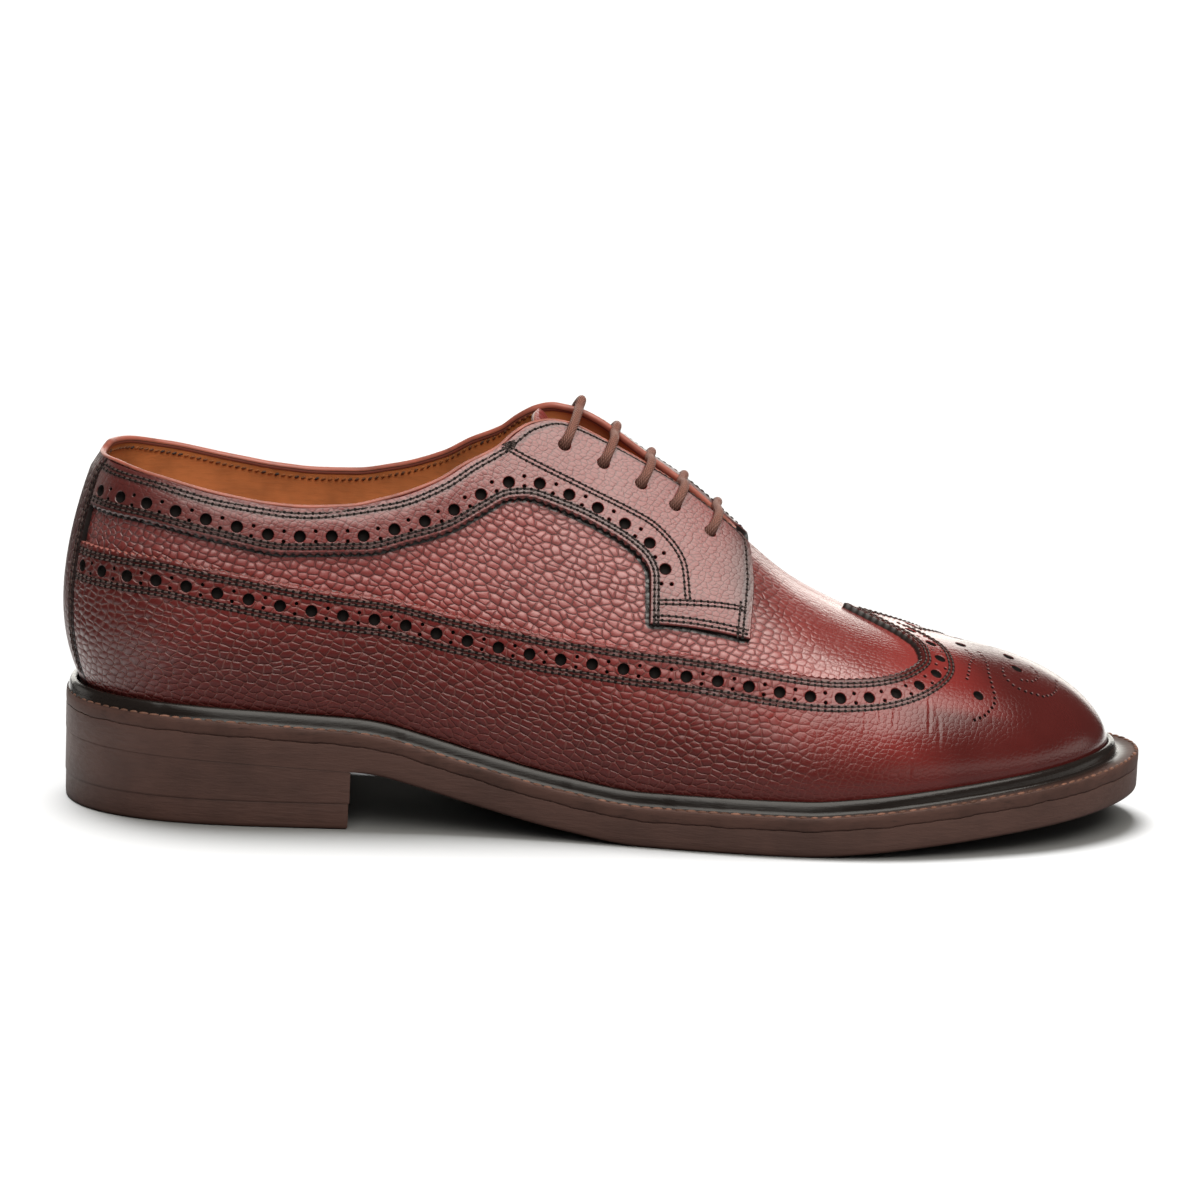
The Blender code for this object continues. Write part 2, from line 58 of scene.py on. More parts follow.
MM = 0.001
GAP = 0.3
OUTSOLE = 7.0
WELT = 3.6
WALL = 2.2
INSOLE_RISE = 2.0
RIB_HEIGHT = 3.2
RIB_WIDTH = 2.6
TOP_PIECE = 7.0
HEEL_BREAST = 79.0
BREAST_UNDERCUT = 0.6
SWELL_PEAK = 0.29
MID_X = 149.73
MID_Y = -1.45
ORIGIN = np.array([MID_X, MID_Y, 0.0])
LAID = 1.7
COLLAR_LAID = 0.7
LINING_DEPTH = 1.75
COLLAR_DEPTH = 0.95
TONGUE_WALL = 1.7
INSOLE_BOARD = 3.0
CUT_BEVEL = 0.35
HOLE_BEVEL = 0.2
PIN_OFFSET = 1.38
HOLE_CORNERS = 14
PIN_CORNERS = 8
EYELET_RADIUS = 1.7
EYELET_CORNERS = 16
AMBIENT = 0.04
CAMERA_DISTANCE = 1.1
FAR = 30.0
WELD = 2e-6
TRIM_ANGLE = math.radians(50)

# Rough lengths in millimetres of one station and one rise, where no exact distance is needed.
FLAT = np.array([26.0, 100.0])
CREASE_RUN = 24.0
HIDE_RUN = 27.0
COLLAR_GIRTH = 105.0

Station = namedtuple("Station", "lat_x lat_y med_x med_y spine_x spine_y spine_z swell side crown edge")
STATIONS = [
    Station(7.2, 0.0, 7.2, 0.0, 46, 0.0, 128.0, 7.0, 2.4, 3.0, 6.9),
    Station(13.2, -18.4, 13.7, 18.4, 46, 0.0, 128.0, 6.3, 2.4, 3.0, 6.9),
    Station(32.8, -29.1, 33.8, 28.1, 48, 0.0, 128.0, 5.0, 2.4, 2.8, 7.1),
    Station(60.0, -31.0, 62.0, 28.5, 61, 0.0, 128.0, 4.0, 2.4, 2.5, 7.5),
    Station(88.0, -31.0, 91.0, 25.5, 90, 0.0, 125.0, 3.2, 2.2, 2.2, 7.5),
    Station(116.0, -33.0, 120.0, 25.5, 118, 0.5, 116.5, 2.8, 2.0, 2.0, 7.5),
    Station(144.0, -37.5, 149.0, 30.0, 146, 2.0, 105.0, 2.6, 1.9, 2.0, 8.0),
    Station(172.0, -43.0, 178.0, 37.0, 173, 3.0, 87.2, 2.4, 1.9, 2.0, 8.5),
    Station(200.0, -46.0, 206.0, 42.0, 196, 4.0, 67.3, 2.0, 2.0, 2.0, 9.0),
    Station(226.5, -43.1, 233.4, 42.1, 219, 5.0, 55.6, 1.5, 2.1, 2.0, 9.5),
    Station(252.0, -33.8, 259.0, 35.8, 238, 5.0, 49.5, 1.2, 2.3, 2.0, 10.0),
    Station(274.8, -19.2, 279.8, 26.2, 251, 5.0, 46.9, 1.0, 2.4, 2.0, 10.5),
    Station(289.6, 5.0, 289.6, 5.0, 256, 5.0, 45.9, 0.8, 2.4, 2.0, 11.0),
]
TOE = len(STATIONS) - 1
TURN = 2 * TOE

Rocker = namedtuple("Rocker", "x z")
ROCKER = [
    Rocker(-2, 19.0), Rocker(40, 17.8), Rocker(72, 16.3), Rocker(80, 15.8), Rocker(87, 14.8),
    Rocker(95, 12.8), Rocker(104, 10.3), Rocker(114, 7.6), Rocker(135, 2.9), Rocker(158, 0.0),
    Rocker(200, 0.0), Rocker(216, 1.0), Rocker(235, 2.8), Rocker(256, 4.8), Rocker(278, 6.9),
    Rocker(303, 9.6),
]

Top = namedtuple("Top", "station rise")
TOPLINE = [
    Top(0.0, 0.510), Top(0.76, 0.509), Top(1.53, 0.487), Top(2.40, 0.444), Top(2.80, 0.427),
    Top(3.17, 0.420), Top(3.55, 0.424), Top(3.92, 0.448), Top(4.39, 0.511), Top(4.64, 0.570),
    Top(4.96, 0.651), Top(5.10, 0.714), Top(5.28, 0.785), Top(5.50, 0.844), Top(5.72, 0.870),
    Top(6.06, 0.866), Top(6.41, 0.876), Top(6.76, 0.890), Top(7.13, 0.906), Top(7.40, 0.935),
    Top(7.50, 1.0),
]
THROAT = TOPLINE[-1].station
MEDIAL_RISE = 0.015
MEDIAL_FACING = 0.034
MEDIAL_FLARE = 2.4

Rung = namedtuple("Rung", "top_station top_rise low_station low_rise")
EYESTAY = [
    Rung(0.68, 0.507, 0.68, 0.403), Rung(1.55, 0.485, 1.50, 0.390), Rung(2.40, 0.442, 2.30, 0.355),
    Rung(3.17, 0.418, 3.00, 0.326), Rung(3.92, 0.446, 3.70, 0.331), Rung(4.39, 0.508, 4.20, 0.370),
    Rung(4.70, 0.583, 4.53, 0.409), Rung(5.00, 0.665, 4.85, 0.471), Rung(5.25, 0.769, 5.10, 0.521),
    Rung(5.60, 0.855, 5.36, 0.541), Rung(6.06, 0.864, 5.70, 0.542), Rung(6.50, 0.878, 6.00, 0.537),
    Rung(6.95, 0.895, 6.25, 0.527), Rung(7.35, 0.912, 6.40, 0.509), Rung(7.52, 0.860, 6.46, 0.479),
    Rung(7.52, 0.690, 6.47, 0.431), Rung(7.46, 0.450, 6.48, 0.367),
]

Wing = namedtuple("Wing", "station rise")
WING = [
    Wing(0.68, 0.320), Wing(1.70, 0.312), Wing(2.45, 0.286), Wing(3.20, 0.258), Wing(3.80, 0.247),
    Wing(4.45, 0.247), Wing(5.40, 0.263), Wing(6.05, 0.288), Wing(6.70, 0.322), Wing(7.35, 0.366),
    Wing(7.90, 0.408), Wing(8.45, 0.455), Wing(8.90, 0.512), Wing(9.24, 0.590), Wing(9.47, 0.690),
    Wing(9.51, 0.780), Wing(9.40, 0.860), Wing(9.14, 0.930), Wing(8.82, 1.0),
]
BACK_STRIP = 0.665
FOOT = 0.02

# Second stitch line of the facing, from the tack at the collar down to the tab.
Row = namedtuple("Row", "station rise")
FACING_ROW = [
    Row(5.06, 0.655), Row(5.16, 0.648), Row(5.53, 0.634), Row(5.98, 0.628), Row(6.40, 0.630),
    Row(6.65, 0.608), Row(6.80, 0.560), Row(6.852, 0.470),
]
TAB_ROW = [Row(6.56, 0.420), Row(6.86, 0.455), Row(7.40, 0.528)]

Tongue = namedtuple("Tongue", "station half drop")
TONGUE_ROWS = [
    Tongue(5.34, 0.20, 8.0), Tongue(5.50, 0.26, 7.2), Tongue(5.80, 0.29, 5.2), Tongue(6.20, 0.28, 2.6),
    Tongue(6.70, 0.26, 0.8), Tongue(7.20, 0.24, 0.1), Tongue(7.60, 0.22, 0.0), Tongue(7.95, 0.20, 0.0),
]
EYELET_STATIONS = (5.58, 5.96, 6.33, 6.67, 7.04)
LACE_MIDDLES = (2.2, 0.5, -0.1, -0.1, 1.2)
EYELET_RISE = 0.732
LACE_ARCH = 0.11

# Punched medallion of the toe, lateral half: rows of small holes, and single large holes.
MEDALLION_ROWS = [
    [Row(10.36, 0.86), Row(10.353, 0.797), Row(10.159, 0.724), Row(10.042, 0.650), Row(9.964, 0.602)],
    [Row(10.62, 0.87), Row(10.479, 0.749), Row(10.347, 0.658), Row(10.267, 0.560), Row(10.243, 0.511),
     Row(10.182, 0.459), Row(10.090, 0.422), Row(9.977, 0.384), Row(9.859, 0.366)],
    [Row(10.719, 0.734), Row(10.616, 0.685), Row(10.600, 0.635), Row(10.638, 0.587), Row(10.759, 0.558),
     Row(10.996, 0.523), Row(11.160, 0.531), Row(11.346, 0.564), Row(11.474, 0.600), Row(11.613, 0.633)],
    [Row(10.854, 0.644), Row(11.022, 0.637), Row(11.187, 0.656), Row(11.36, 0.70), Row(11.45, 0.76)],
]
MEDALLION_HOLES = [Row(10.016, 0.505), Row(11.016, 0.745), Row(10.42, 0.925), Row(11.309, 0.870)]

# Flex creases of the wing: where each one runs, how deep and how wide it is.
Crease = namedtuple("Crease", "station lean low high depth width")
CREASES = [
    Crease(9.33, 0.5, 0.30, 0.44, 0.09, 0.45), Crease(9.07, 0.3, 0.08, 0.24, 0.07, 0.5),
    Crease(8.93, 0.5, 0.30, 0.39, 0.07, 0.4), Crease(8.78, 0.4, 0.31, 0.38, 0.08, 0.4),
    Crease(8.62, 0.6, 0.28, 0.37, 0.06, 0.4), Crease(9.40, 0.3, 0.18, 0.36, 0.05, 0.5),
    Crease(7.72, 0.9, 0.24, 0.33, 0.08, 0.5), Crease(7.55, 0.8, 0.22, 0.31, 0.07, 0.5),
    Crease(8.30, 0.5, 0.12, 0.26, 0.05, 0.7),
]


# Curves and the surface of the last
def closed_curve(values):
    """Periodic cubic curve through values standing at whole numbers."""
    knots = np.asarray(values, float)
    count = len(knots)
    system = 4 * np.eye(count) + np.roll(np.eye(count), 1, 0) + np.roll(np.eye(count), -1, 0)
    bend = np.linalg.solve(system, 6 * (np.roll(knots, -1) - 2 * knots + np.roll(knots, 1)))

    def at(place):
        place = np.mod(place, count)
        low = np.floor(place).astype(int) % count
        high = (low + 1) % count
        b = place - np.floor(place)
        a = 1 - b
        return a * knots[low] + b * knots[high] + ((a**3 - a) * bend[low] + (b**3 - b) * bend[high]) / 6

    return at


def column(rows, name):
    return [getattr(row, name) for row in rows]


def station_curve(lateral, medial):
    """Closed curve over the stations: lateral side heel to toe, medial side back to the heel."""
    return closed_curve(column(STATIONS, lateral) + column(STATIONS, medial)[-2:0:-1])


def open_curve(places, values):
    """Cubic curve through (place, value) pairs that never overshoots its rows."""
    x = np.asarray(places, float)
    y = np.asarray(values, float)
    step = np.diff(x)
    rise = np.diff(y) / step
    slope = np.zeros(len(x))
    slope[0] = rise[0]
    slope[-1] = rise[-1]
    for k in range(1, len(x) - 1):
        if rise[k - 1] * rise[k] > 0:
            before = 2 * step[k] + step[k - 1]
            after = step[k] + 2 * step[k - 1]
            slope[k] = (before + after) / (before / rise[k - 1] + after / rise[k])

    def at(place):
        place = np.clip(place, x[0], x[-1])
        k = np.clip(np.searchsorted(x, place, side="right") - 1, 0, len(x) - 2)
        t = (place - x[k]) / step[k]
        start = (1 + 2 * t) * (1 - t) ** 2 * y[k] + t * (1 - t) ** 2 * step[k] * slope[k]
        end = t * t * (3 - 2 * t) * y[k + 1] + t * t * (t - 1) * step[k] * slope[k + 1]
        return start + end

    return at


feather_x = station_curve("lat_x", "med_x")
feather_y = station_curve("lat_y", "med_y")
spine_x = station_curve("spine_x", "spine_x")
spine_y = station_curve("spine_y", "spine_y")
spine_z = station_curve("spine_z", "spine_z")
swell = station_curve("swell", "swell")
side_power = station_curve("side", "side")
crown_power = station_curve("crown", "crown")
sole_edge = station_curve("edge", "edge")
underside = open_curve(column(ROCKER, "x"), column(ROCKER, "z"))
topline = open_curve(column(TOPLINE, "station"), column(TOPLINE, "rise"))
TOE_FALL = (STATIONS[-1].spine_z - STATIONS[-4].spine_z) / (STATIONS[-1].spine_x - STATIONS[-4].spine_x)
FALL_START = STATIONS[-5].spine_x
FALL_END = STATIONS[-2].spine_x


def smooth(low, high, value):
    share = np.clip((np.asarray(value, float) - low) / (high - low), 0, 1)
    return share * share * (3 - 2 * share)


def medial_rise(station):
    """How much higher the medial collar and facing reach than the lateral ones."""
    collar = MEDIAL_RISE * smooth(0, 0.4, station)
    facing = MEDIAL_FACING * smooth(5.5, 6.0, station) * (1 - 0.4 * smooth(7.1, 7.4, station))
    return collar + facing


def flare(station, rise):
    """Lift of the medial facing where it stands open beside the tongue."""
    along = smooth(4.7, 5.5, station) * (1 - smooth(5.7, 6.5, station))
    return MEDIAL_FLARE * along * smooth(1.32, 1.14, rise) * (np.asarray(rise) > 1.02)


def unit(vectors):
    return vectors / np.maximum(np.linalg.norm(vectors, axis=-1, keepdims=True), 1e-12)


def lengths(points):
    """Length of a line of points up to each of them."""
    return np.concatenate([[0], np.cumsum(np.linalg.norm(np.diff(points, axis=0), axis=1))])


def feather(around):
    return np.stack([feather_x(around), feather_y(around)], -1)


def outward(around):
    """Unit normal of the feather edge in plan, pointing out of the shoe."""
    step = 1e-3
    run = feather(around + step) - feather(around - step)
    return unit(np.stack([run[..., 1], -run[..., 0]], -1))


def plan_ring(around, offset):
    """Feather edge moved outward in plan by an offset."""
    return feather(around) + outward(around) * np.asarray(offset, float)[..., None]


def seat(x):
    """Height of the upper's lower edge on the welt."""
    return underside(x) + OUTSOLE + GAP + WELT + GAP


def with_height(plan, height):
    return np.concatenate([plan, np.asarray(height, float)[..., None]], -1)


def skin(station, rise):
    """Point of the upper's outer surface; stations past heel or toe fold to the other side."""
    station, rise = np.broadcast_arrays(np.asarray(station, float), np.asarray(rise, float))
    folded = (station < 0) | (station > TOE)
    station = np.where(station < 0, -station, np.where(station > TOE, TURN - station, station))
    rise = np.where(folded, 2 - rise, rise)
    around = np.where(rise <= 1, station, TURN - station)
    angle = np.clip(np.where(rise <= 1, rise, 2 - rise), 0, 1) ** (crown_power(around) / 2) * math.pi / 2
    foot = feather(around)
    spine = np.stack([spine_x(around), spine_y(around)], -1)
    reach = np.cos(angle) ** (2 / side_power(around))
    climb = np.sin(angle) ** (2 / crown_power(around))
    run = foot - spine
    blend = np.clip((spine[..., 0] - FALL_START) / (FALL_END - FALL_START), 0, 1)
    fall = TOE_FALL * blend * blend * (3 - 2 * blend) * run[..., 0]
    crest = spine_z(around) + fall
    height = spine_z(around) + fall * reach - (crest - seat(foot[..., 0])) * (1 - climb)
    swelling = (1 - SWELL_PEAK) * climb / (SWELL_PEAK + (1 - 2 * SWELL_PEAK) * climb)
    out = swell(around) * np.sin(math.pi * swelling)
    plan = spine + run * reach[..., None] + outward(around) * out[..., None]
    return with_height(plan, height)


def surface_normal(surface, station, rise, step):
    """Unit normal of a surface over the last, pointing out of the shoe."""
    station, rise = np.broadcast_arrays(np.asarray(station, float), np.asarray(rise, float))
    station = np.where(np.abs(rise - 1) < 0.03, np.minimum(station, TOE - 0.12), station)
    rise = np.clip(rise, 2 * step, 2 - 2 * step)
    along = surface(station + step, rise) - surface(station - step, rise)
    across = surface(station, rise + step) - surface(station, rise - step)
    return unit(np.cross(along, across))


def skin_normal(station, rise):
    return surface_normal(skin, station, rise, 2e-3)


def raised(station, rise, offset):
    """Point standing an offset above (or, if negative, below) the upper's outer surface."""
    normal = skin_normal(station, rise)
    height = np.broadcast_to(np.asarray(offset + flare(station, rise), float), normal.shape[:-1])
    return skin(station, rise) + normal * height[..., None]


def half_rise(station, rise):
    """Rise counted from the nearer feather edge, and station, on either side of the shoe."""
    station, rise = np.broadcast_arrays(np.asarray(station, float), np.asarray(rise, float))
    return np.abs(station), np.minimum(rise, 2 - rise)


def below_collar(station, rise):
    """Distance in millimetres below the collar or facing edge; large ahead of the throat."""
    place, high = half_rise(station, rise)
    edge = topline(place) + np.where(np.asarray(rise) > 1, medial_rise(place), 0.0)
    return np.where(place < THROAT - 0.1, (edge - high) * COLLAR_GIRTH, FAR)


def relief(station, rise):
    """Soft creases where the forefoot bends, and the slight unevenness of lasted leather."""
    place, high = half_rise(station, rise)
    depth = np.zeros(place.shape)
    for row in CREASES:
        middle = (row.low + row.high) / 2
        off = (place - row.station - row.lean * (high - middle)) * CREASE_RUN
        along = smooth(row.low - 0.03, row.low + 0.03, high)
        along = along * (1 - smooth(row.high - 0.03, row.high + 0.03, high))
        trough = np.exp(-((off / row.width) ** 2))
        ridges = np.exp(-(((np.abs(off) - 1.7 * row.width) / row.width) ** 2))
        depth = depth - row.depth * along * (trough - 0.5 * ridges)
    waves = np.sin(place * 5.1 + high * 9.0) * np.sin(high * 23.0 - place * 2.3)
    lift = 0.10 * waves * smooth(0.5, 1.5, place) * (1 - smooth(8.6, 9.6, place))
    return depth + lift * smooth(0.03, 0.12, high)


def cover(station, rise):
    """Height of the laid-on pieces, skived thin where they reach the collar."""
    thin = smooth(0.0, 4.5, below_collar(station, rise))
    return COLLAR_LAID + (LAID - COLLAR_LAID) * thin


def lining_depth(station, rise):
    """Depth of the lining below the outer surface, thin where it reaches the collar."""
    return COLLAR_DEPTH + (LINING_DEPTH - COLLAR_DEPTH) * smooth(2.0, 14.0, below_collar(station, rise))


def covered(station, rise, drop=0.0):
    return raised(station, rise, cover(station, rise) + relief(station, rise) - drop)


def covered_normal(station, rise):
    """Normal of the laid-on pieces with their creases."""
    return surface_normal(covered, station, rise, 3e-3)


def walk(station, rise, heading, distance, steps=5):
    """Moves places over the surface along a heading in space by a distance in millimetres."""
    station = np.array(station, float)
    rise = np.array(rise, float)
    heading = np.array(heading, float)
    part = np.broadcast_to(np.asarray(distance, float), station.shape) / steps
    step = 1e-3
    for _ in range(steps):
        along = (skin(station + step, rise) - skin(station - step, rise)) / (2 * step)
        across = (skin(station, rise + step) - skin(station, rise - step)) / (2 * step)
        normal = unit(np.cross(along, across))
        heading = unit(heading - (heading * normal).sum(-1, keepdims=True) * normal)
        e = (along * along).sum(-1)
        f = (along * across).sum(-1)
        g = (across * across).sum(-1)
        p = (heading * along).sum(-1)
        q = (heading * across).sum(-1)
        scale = e * g - f * f
        station = station + part * (p * g - q * f) / scale
        rise = rise + part * (q * e - p * f) / scale
    return station, rise


def even(station, rise, spacing):
    """The same line with places at an even spacing along its length."""
    length = lengths(raised(station, rise, LAID))
    count = max(int(round(length[-1] / spacing)), 1)
    place = np.linspace(0, length[-1], count + 1)
    return np.interp(place, length, station), np.interp(place, length, rise)


def straight(start, end, count):
    """Places spread evenly from one place to another."""
    return [np.linspace(a, b, count) for a, b in zip(start, end)]


def table_line(rows, medial, lifted, spacing, station="station", rise="rise"):
    """Smooth line through the rows of a table, on either side of the shoe."""
    count = np.arange(len(rows))
    fine = np.linspace(0, len(rows) - 1, 900)
    stations = open_curve(count, column(rows, station))(fine)
    rises = open_curve(count, column(rows, rise))(fine)
    if medial:
        rises = 2 - rises - (lifted(stations) if callable(lifted) else lifted)
    return even(stations, rises, spacing)


def beside(station, rise, distance, side):
    """Line running beside another one at a distance; side 1 is left of its run, -1 right."""
    points = raised(station, rise, LAID)
    run = np.gradient(points, axis=0)
    heading = side * np.cross(skin_normal(station, rise), unit(run))
    return walk(station, rise, heading, distance)


GRID_ALONG = 60
GRID_AROUND = 120
girth_points = skin(np.linspace(0, TOE, GRID_ALONG + 1)[:, None], np.linspace(0, 2, GRID_AROUND + 1)[None])
girth_steps = np.linalg.norm(np.diff(girth_points, axis=1), axis=-1)
GIRTH = np.concatenate([np.zeros((GRID_ALONG + 1, 1)), np.cumsum(girth_steps, axis=1)], axis=1)


def grain_uv(station, rise):
    """Flat coordinates of the hide in units of 100 mm: along the shoe and round the girth."""
    folded = np.asarray(station) < 0
    place = np.clip(np.abs(station), 0, TOE)
    rise = np.clip(rise, 0, 2)
    a = place / TOE * GRID_ALONG
    b = rise / 2 * GRID_AROUND
    i = np.clip(a.astype(int), 0, GRID_ALONG - 1)
    j = np.clip(b.astype(int), 0, GRID_AROUND - 1)
    u = a - i
    v = b - j
    near = GIRTH[i, j] * (1 - u) + GIRTH[i + 1, j] * u
    far = GIRTH[i, j + 1] * (1 - u) + GIRTH[i + 1, j + 1] * u
    along = np.where(folded, -1, 1) * place * HIDE_RUN
    return np.stack([along, near * (1 - v) + far * v], -1) * 0.01


def grain_strength(station, rise):
    """How bold the pebbles are: bold behind, flat on the polished toe."""
    place, high = half_rise(station, rise)
    bold = 1 - 0.58 * smooth(6.8, 8.6, place) - 0.28 * smooth(8.4, 9.6, place)
    return bold * (0.55 + 0.45 * smooth(0.02, 0.12, high)) * (1 - 0.95 * smooth(11.2, 11.9, place))


def burnish(station, rise):
    """Darkening toward welt, heel back and toe tip, partly burnish and partly painted shade low on the sides
    and on the vamp.
    """
    place, high = half_rise(station, rise)
    # Low on the sides, darkest at the welt: burnish, and painted shade under the rib.
    low = np.maximum(0.85 * (1 - smooth(0.01, 0.09, high)), 0.58 * (1 - smooth(0.12, 0.27, high)))
    heel = 0.72 * (1 - smooth(1.2, 3.3, place))
    front = 0.76 * smooth(8.7, 9.7, place) * (1 - smooth(0.36, 0.44, high))
    toe = 0.82 * smooth(9.7, 10.6, place)
    # On the vamp below the facing: painted shade, and a painted shadow of the facing.
    vamp = 0.45 * smooth(7.0, 7.5, place) * (1 - smooth(8.8, 9.4, place)) * smooth(0.42, 0.56, high)
    shade = 0.34 * smooth(7.2, 7.4, place) * (1 - smooth(7.6, 8.0, place)) * smooth(0.50, 0.62, high)
    return np.clip(np.max([low, heel, front, toe, vamp + shade], axis=0), 0, 1)


def crease_wax_and_sheen(station, rise):
    """Where the creases are coloured lighter: polish left in them, and a painted sheen on their walls; low on
    the sides, not on the toe.
    """
    place, high = half_rise(station, rise)
    return (1 - smooth(0.24, 0.36, high)) * (1 - smooth(8.6, 9.6, place))


# Mesh helpers
def clear_selection():
    if bpy.context.object is not None and bpy.context.object.mode != "OBJECT":
        bpy.ops.object.mode_set(mode="OBJECT")
    bpy.ops.object.select_all(action="DESELECT")


def select(*pieces):
    """Makes pieces the only selected ones, and the first of them active."""
    clear_selection()
    for piece in pieces:
        piece.select_set(True)
    bpy.context.view_layer.objects.active = pieces[0]


def corner_points(mesh):
    """Number of the point that each corner of each face stands on."""
    corner = np.zeros(len(mesh.loops), int)
    mesh.loops.foreach_get("vertex_index", corner)
    return corner


def add_attributes(mesh, uv=None, marks=None):
    if uv is not None:
        flat = np.asarray(uv, float)[corner_points(mesh)]
        mesh.uv_layers.new(name="hide").data.foreach_set("uv", flat.astype(np.float32).ravel())
    for name, values in (marks or {}).items():
        made = mesh.attributes.new(name, "FLOAT", "POINT")
        made.data.foreach_set("value", np.asarray(values, np.float32).ravel())


# Parts of a cut piece; the bevel has the look of the top without its shading normals.
TOP, EDGE, HOLE, BEVEL = range(4)


def add_mesh(name, points, faces, uv=None, marks=None, normals=None, parts=None):
    """New object from points in millimetres; normals, one a point, shade the faces of the top."""
    mesh = bpy.data.meshes.new(name)
    mesh.from_pydata(((np.asarray(points, float) - ORIGIN) * MM).tolist(), [], faces)
    mesh.polygons.foreach_set("use_smooth", np.ones(len(mesh.polygons), bool))
    add_attributes(mesh, uv, marks)
    if normals is not None:
        parts = np.asarray(parts)
        top = np.repeat(parts, [p.loop_total for p in mesh.polygons]) == TOP
        shading = np.where(top[:, None], normals[corner_points(mesh)], 0.0)
        mesh.normals_split_custom_set([tuple(n) for n in shading])
        mesh.polygons.foreach_set("material_index", np.where(parts == BEVEL, TOP, parts).astype(np.int32))
    piece = bpy.data.objects.new(name, mesh)
    bpy.context.scene.collection.objects.link(piece)
    return piece


def add_sheet(name, grid, closed=False, uv=None, marks=None, flip=False):
    """Sheet of leather or rubber: a grid primitive laid over rows of points in millimetres."""
    columns, rows = grid.shape[:2]
    clear_selection()
    bpy.ops.mesh.primitive_grid_add(x_subdivisions=rows - 1, y_subdivisions=columns - 1, size=1.0)
    piece = bpy.context.object
    piece.name = name
    piece.data.name = name
    mesh = piece.data
    for layer in list(mesh.uv_layers):
        mesh.uv_layers.remove(layer)
    mesh.vertices.foreach_set("co", ((grid.reshape(-1, 3) - ORIGIN) * MM).ravel())
    add_attributes(mesh, None if uv is None else uv.reshape(-1, 2),
                   None if marks is None else {k: v.reshape(-1) for k, v in marks.items()})
    mesh.update()
    bpy.ops.object.mode_set(mode="EDIT")
    bpy.ops.mesh.select_all(action="SELECT")
    if not flip:
        bpy.ops.mesh.flip_normals()
    if closed:
        bpy.ops.mesh.remove_doubles(threshold=WELD)
    bpy.ops.object.mode_set(mode="OBJECT")
    bpy.ops.object.shade_smooth()
    return piece


def thicken(sheet, thickness, back=0, rim=0):
    """Gives a dressed sheet a thickness below it; back and rim count on from its first material."""
    select(sheet)
    wall = sheet.modifiers.new("wall", "SOLIDIFY")
    wall.thickness = thickness * MM
    wall.offset = -1.0
    wall.material_offset = back
    wall.material_offset_rim = rim
    bpy.ops.object.modifier_apply(modifier=wall.name)


def dress(piece, looks, slot, *replaced):
    """Gives a finished piece its materials and its body, and hides the solids that it stands for."""
    for look in looks:
        piece.data.materials.append(look)
    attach(piece, "root")
    if replaced:
        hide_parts(*replaced)
    return piece


def inside(points, loop):
    """Which flat points lie inside a closed loop."""
    a = loop
    b = np.roll(loop, -1, axis=0)
    result = np.zeros(len(points), bool)
    for start in range(0, len(points), 4000):
        p = points[start:start + 4000]
        above = (a[None, :, 1] > p[:, None, 1]) != (b[None, :, 1] > p[:, None, 1])
        slope = (b[:, 0] - a[:, 0]) / np.where(b[:, 1] == a[:, 1], 1e-12, b[:, 1] - a[:, 1])
        cross = a[None, :, 0] + (p[:, None, 1] - a[None, :, 1]) * slope[None]
        result[start:start + 4000] = (above & (p[:, :1] < cross)).sum(1) % 2 == 1
    return result


def nearest(points, others):
    """Distance from each point to the nearest of some others."""
    gap = np.full(len(points), np.inf)
    for start in range(0, len(others), 200):
        block = points[:, None] - others[None, start:start + 200]
        gap = np.minimum(gap, np.linalg.norm(block, axis=-1).min(1))
    return gap


def line_distance(places, lines):
    """Distance in millimetres from places on the upper to the nearest of some lines, at most FAR."""
    points = raised(places[:, 0], places[:, 1], LAID)
    gap = np.full(len(points), FAR)
    for station, rise in lines:
        gap = np.minimum(gap, nearest(points, raised(station, rise, LAID)))
    return gap


def outline(*stretches):
    """Values round a closed outline, stretch by stretch; a single number holds for a whole stretch."""
    return [np.concatenate(values) for values in zip(*(np.broadcast_arrays(*s) for s in stretches))]


def hole_rings(station, rise, radius, corners):
    """Ring round a hole and ring on its edge, as places."""
    turn = np.arange(corners) * 2 * math.pi / corners
    place = np.full(corners, station), np.full(corners, rise)
    along = unit(skin(place[0] + 1e-3, place[1]) - skin(place[0] - 1e-3, place[1]))
    across = np.cross(skin_normal(*place), along)
    spoke = np.cos(turn)[:, None] * along + np.sin(turn)[:, None] * across
    return walk(*place, spoke, radius + HOLE_BEVEL, 2), walk(*place, spoke, radius, 2)


def place_grid(low, high, run, climb):
    """Rows of places between two corners, a run apart in station and a climb apart in rise."""
    stations = np.arange(low[0], high[0], run)
    rises = np.arange(low[1], high[1], climb)
    return np.stack(np.meshgrid(stations, rises, indexing="ij"), -1)


def fill_places(station, rise, loop, fixed, holes, spacing, fine):
    """Places spread inside a loop, clear of the fixed ones and the holes.

    fine is (low place, high place, spacing) of a stretch on both sides that has more of them.
    """
    run, climb = spacing / FLAT
    grid = place_grid((station.min(), rise.min()), (station.max(), rise.max()), run, climb)
    grid[:, 1::2, 0] += run / 2
    fill = grid.reshape(-1, 2)
    if fine is not None:
        low, high, dense = fine
        extra = place_grid(low, high, dense / FLAT[0], 2 * dense / FLAT[1]).reshape(-1, 2)
        other = np.stack([extra[:, 0], 2 - extra[:, 1]], -1)
        half = np.stack(half_rise(fill[:, 0], fill[:, 1]), -1)
        replaced = ((half > low) & (half < high)).all(1)
        fill = np.concatenate([fill[~replaced], extra, other])
    fill = fill[inside(fill * FLAT, loop * FLAT)]
    fill = fill[nearest(fill * FLAT, fixed * FLAT) > 0.55]
    spread = raised(fill[:, 0], fill[:, 1], LAID)
    for hole_s, hole_r, radius, _ in holes:
        clear = np.linalg.norm(spread - raised(hole_s, hole_r, LAID), axis=1) > radius + 0.65
        fill = fill[clear]
        spread = spread[clear]
    return fill


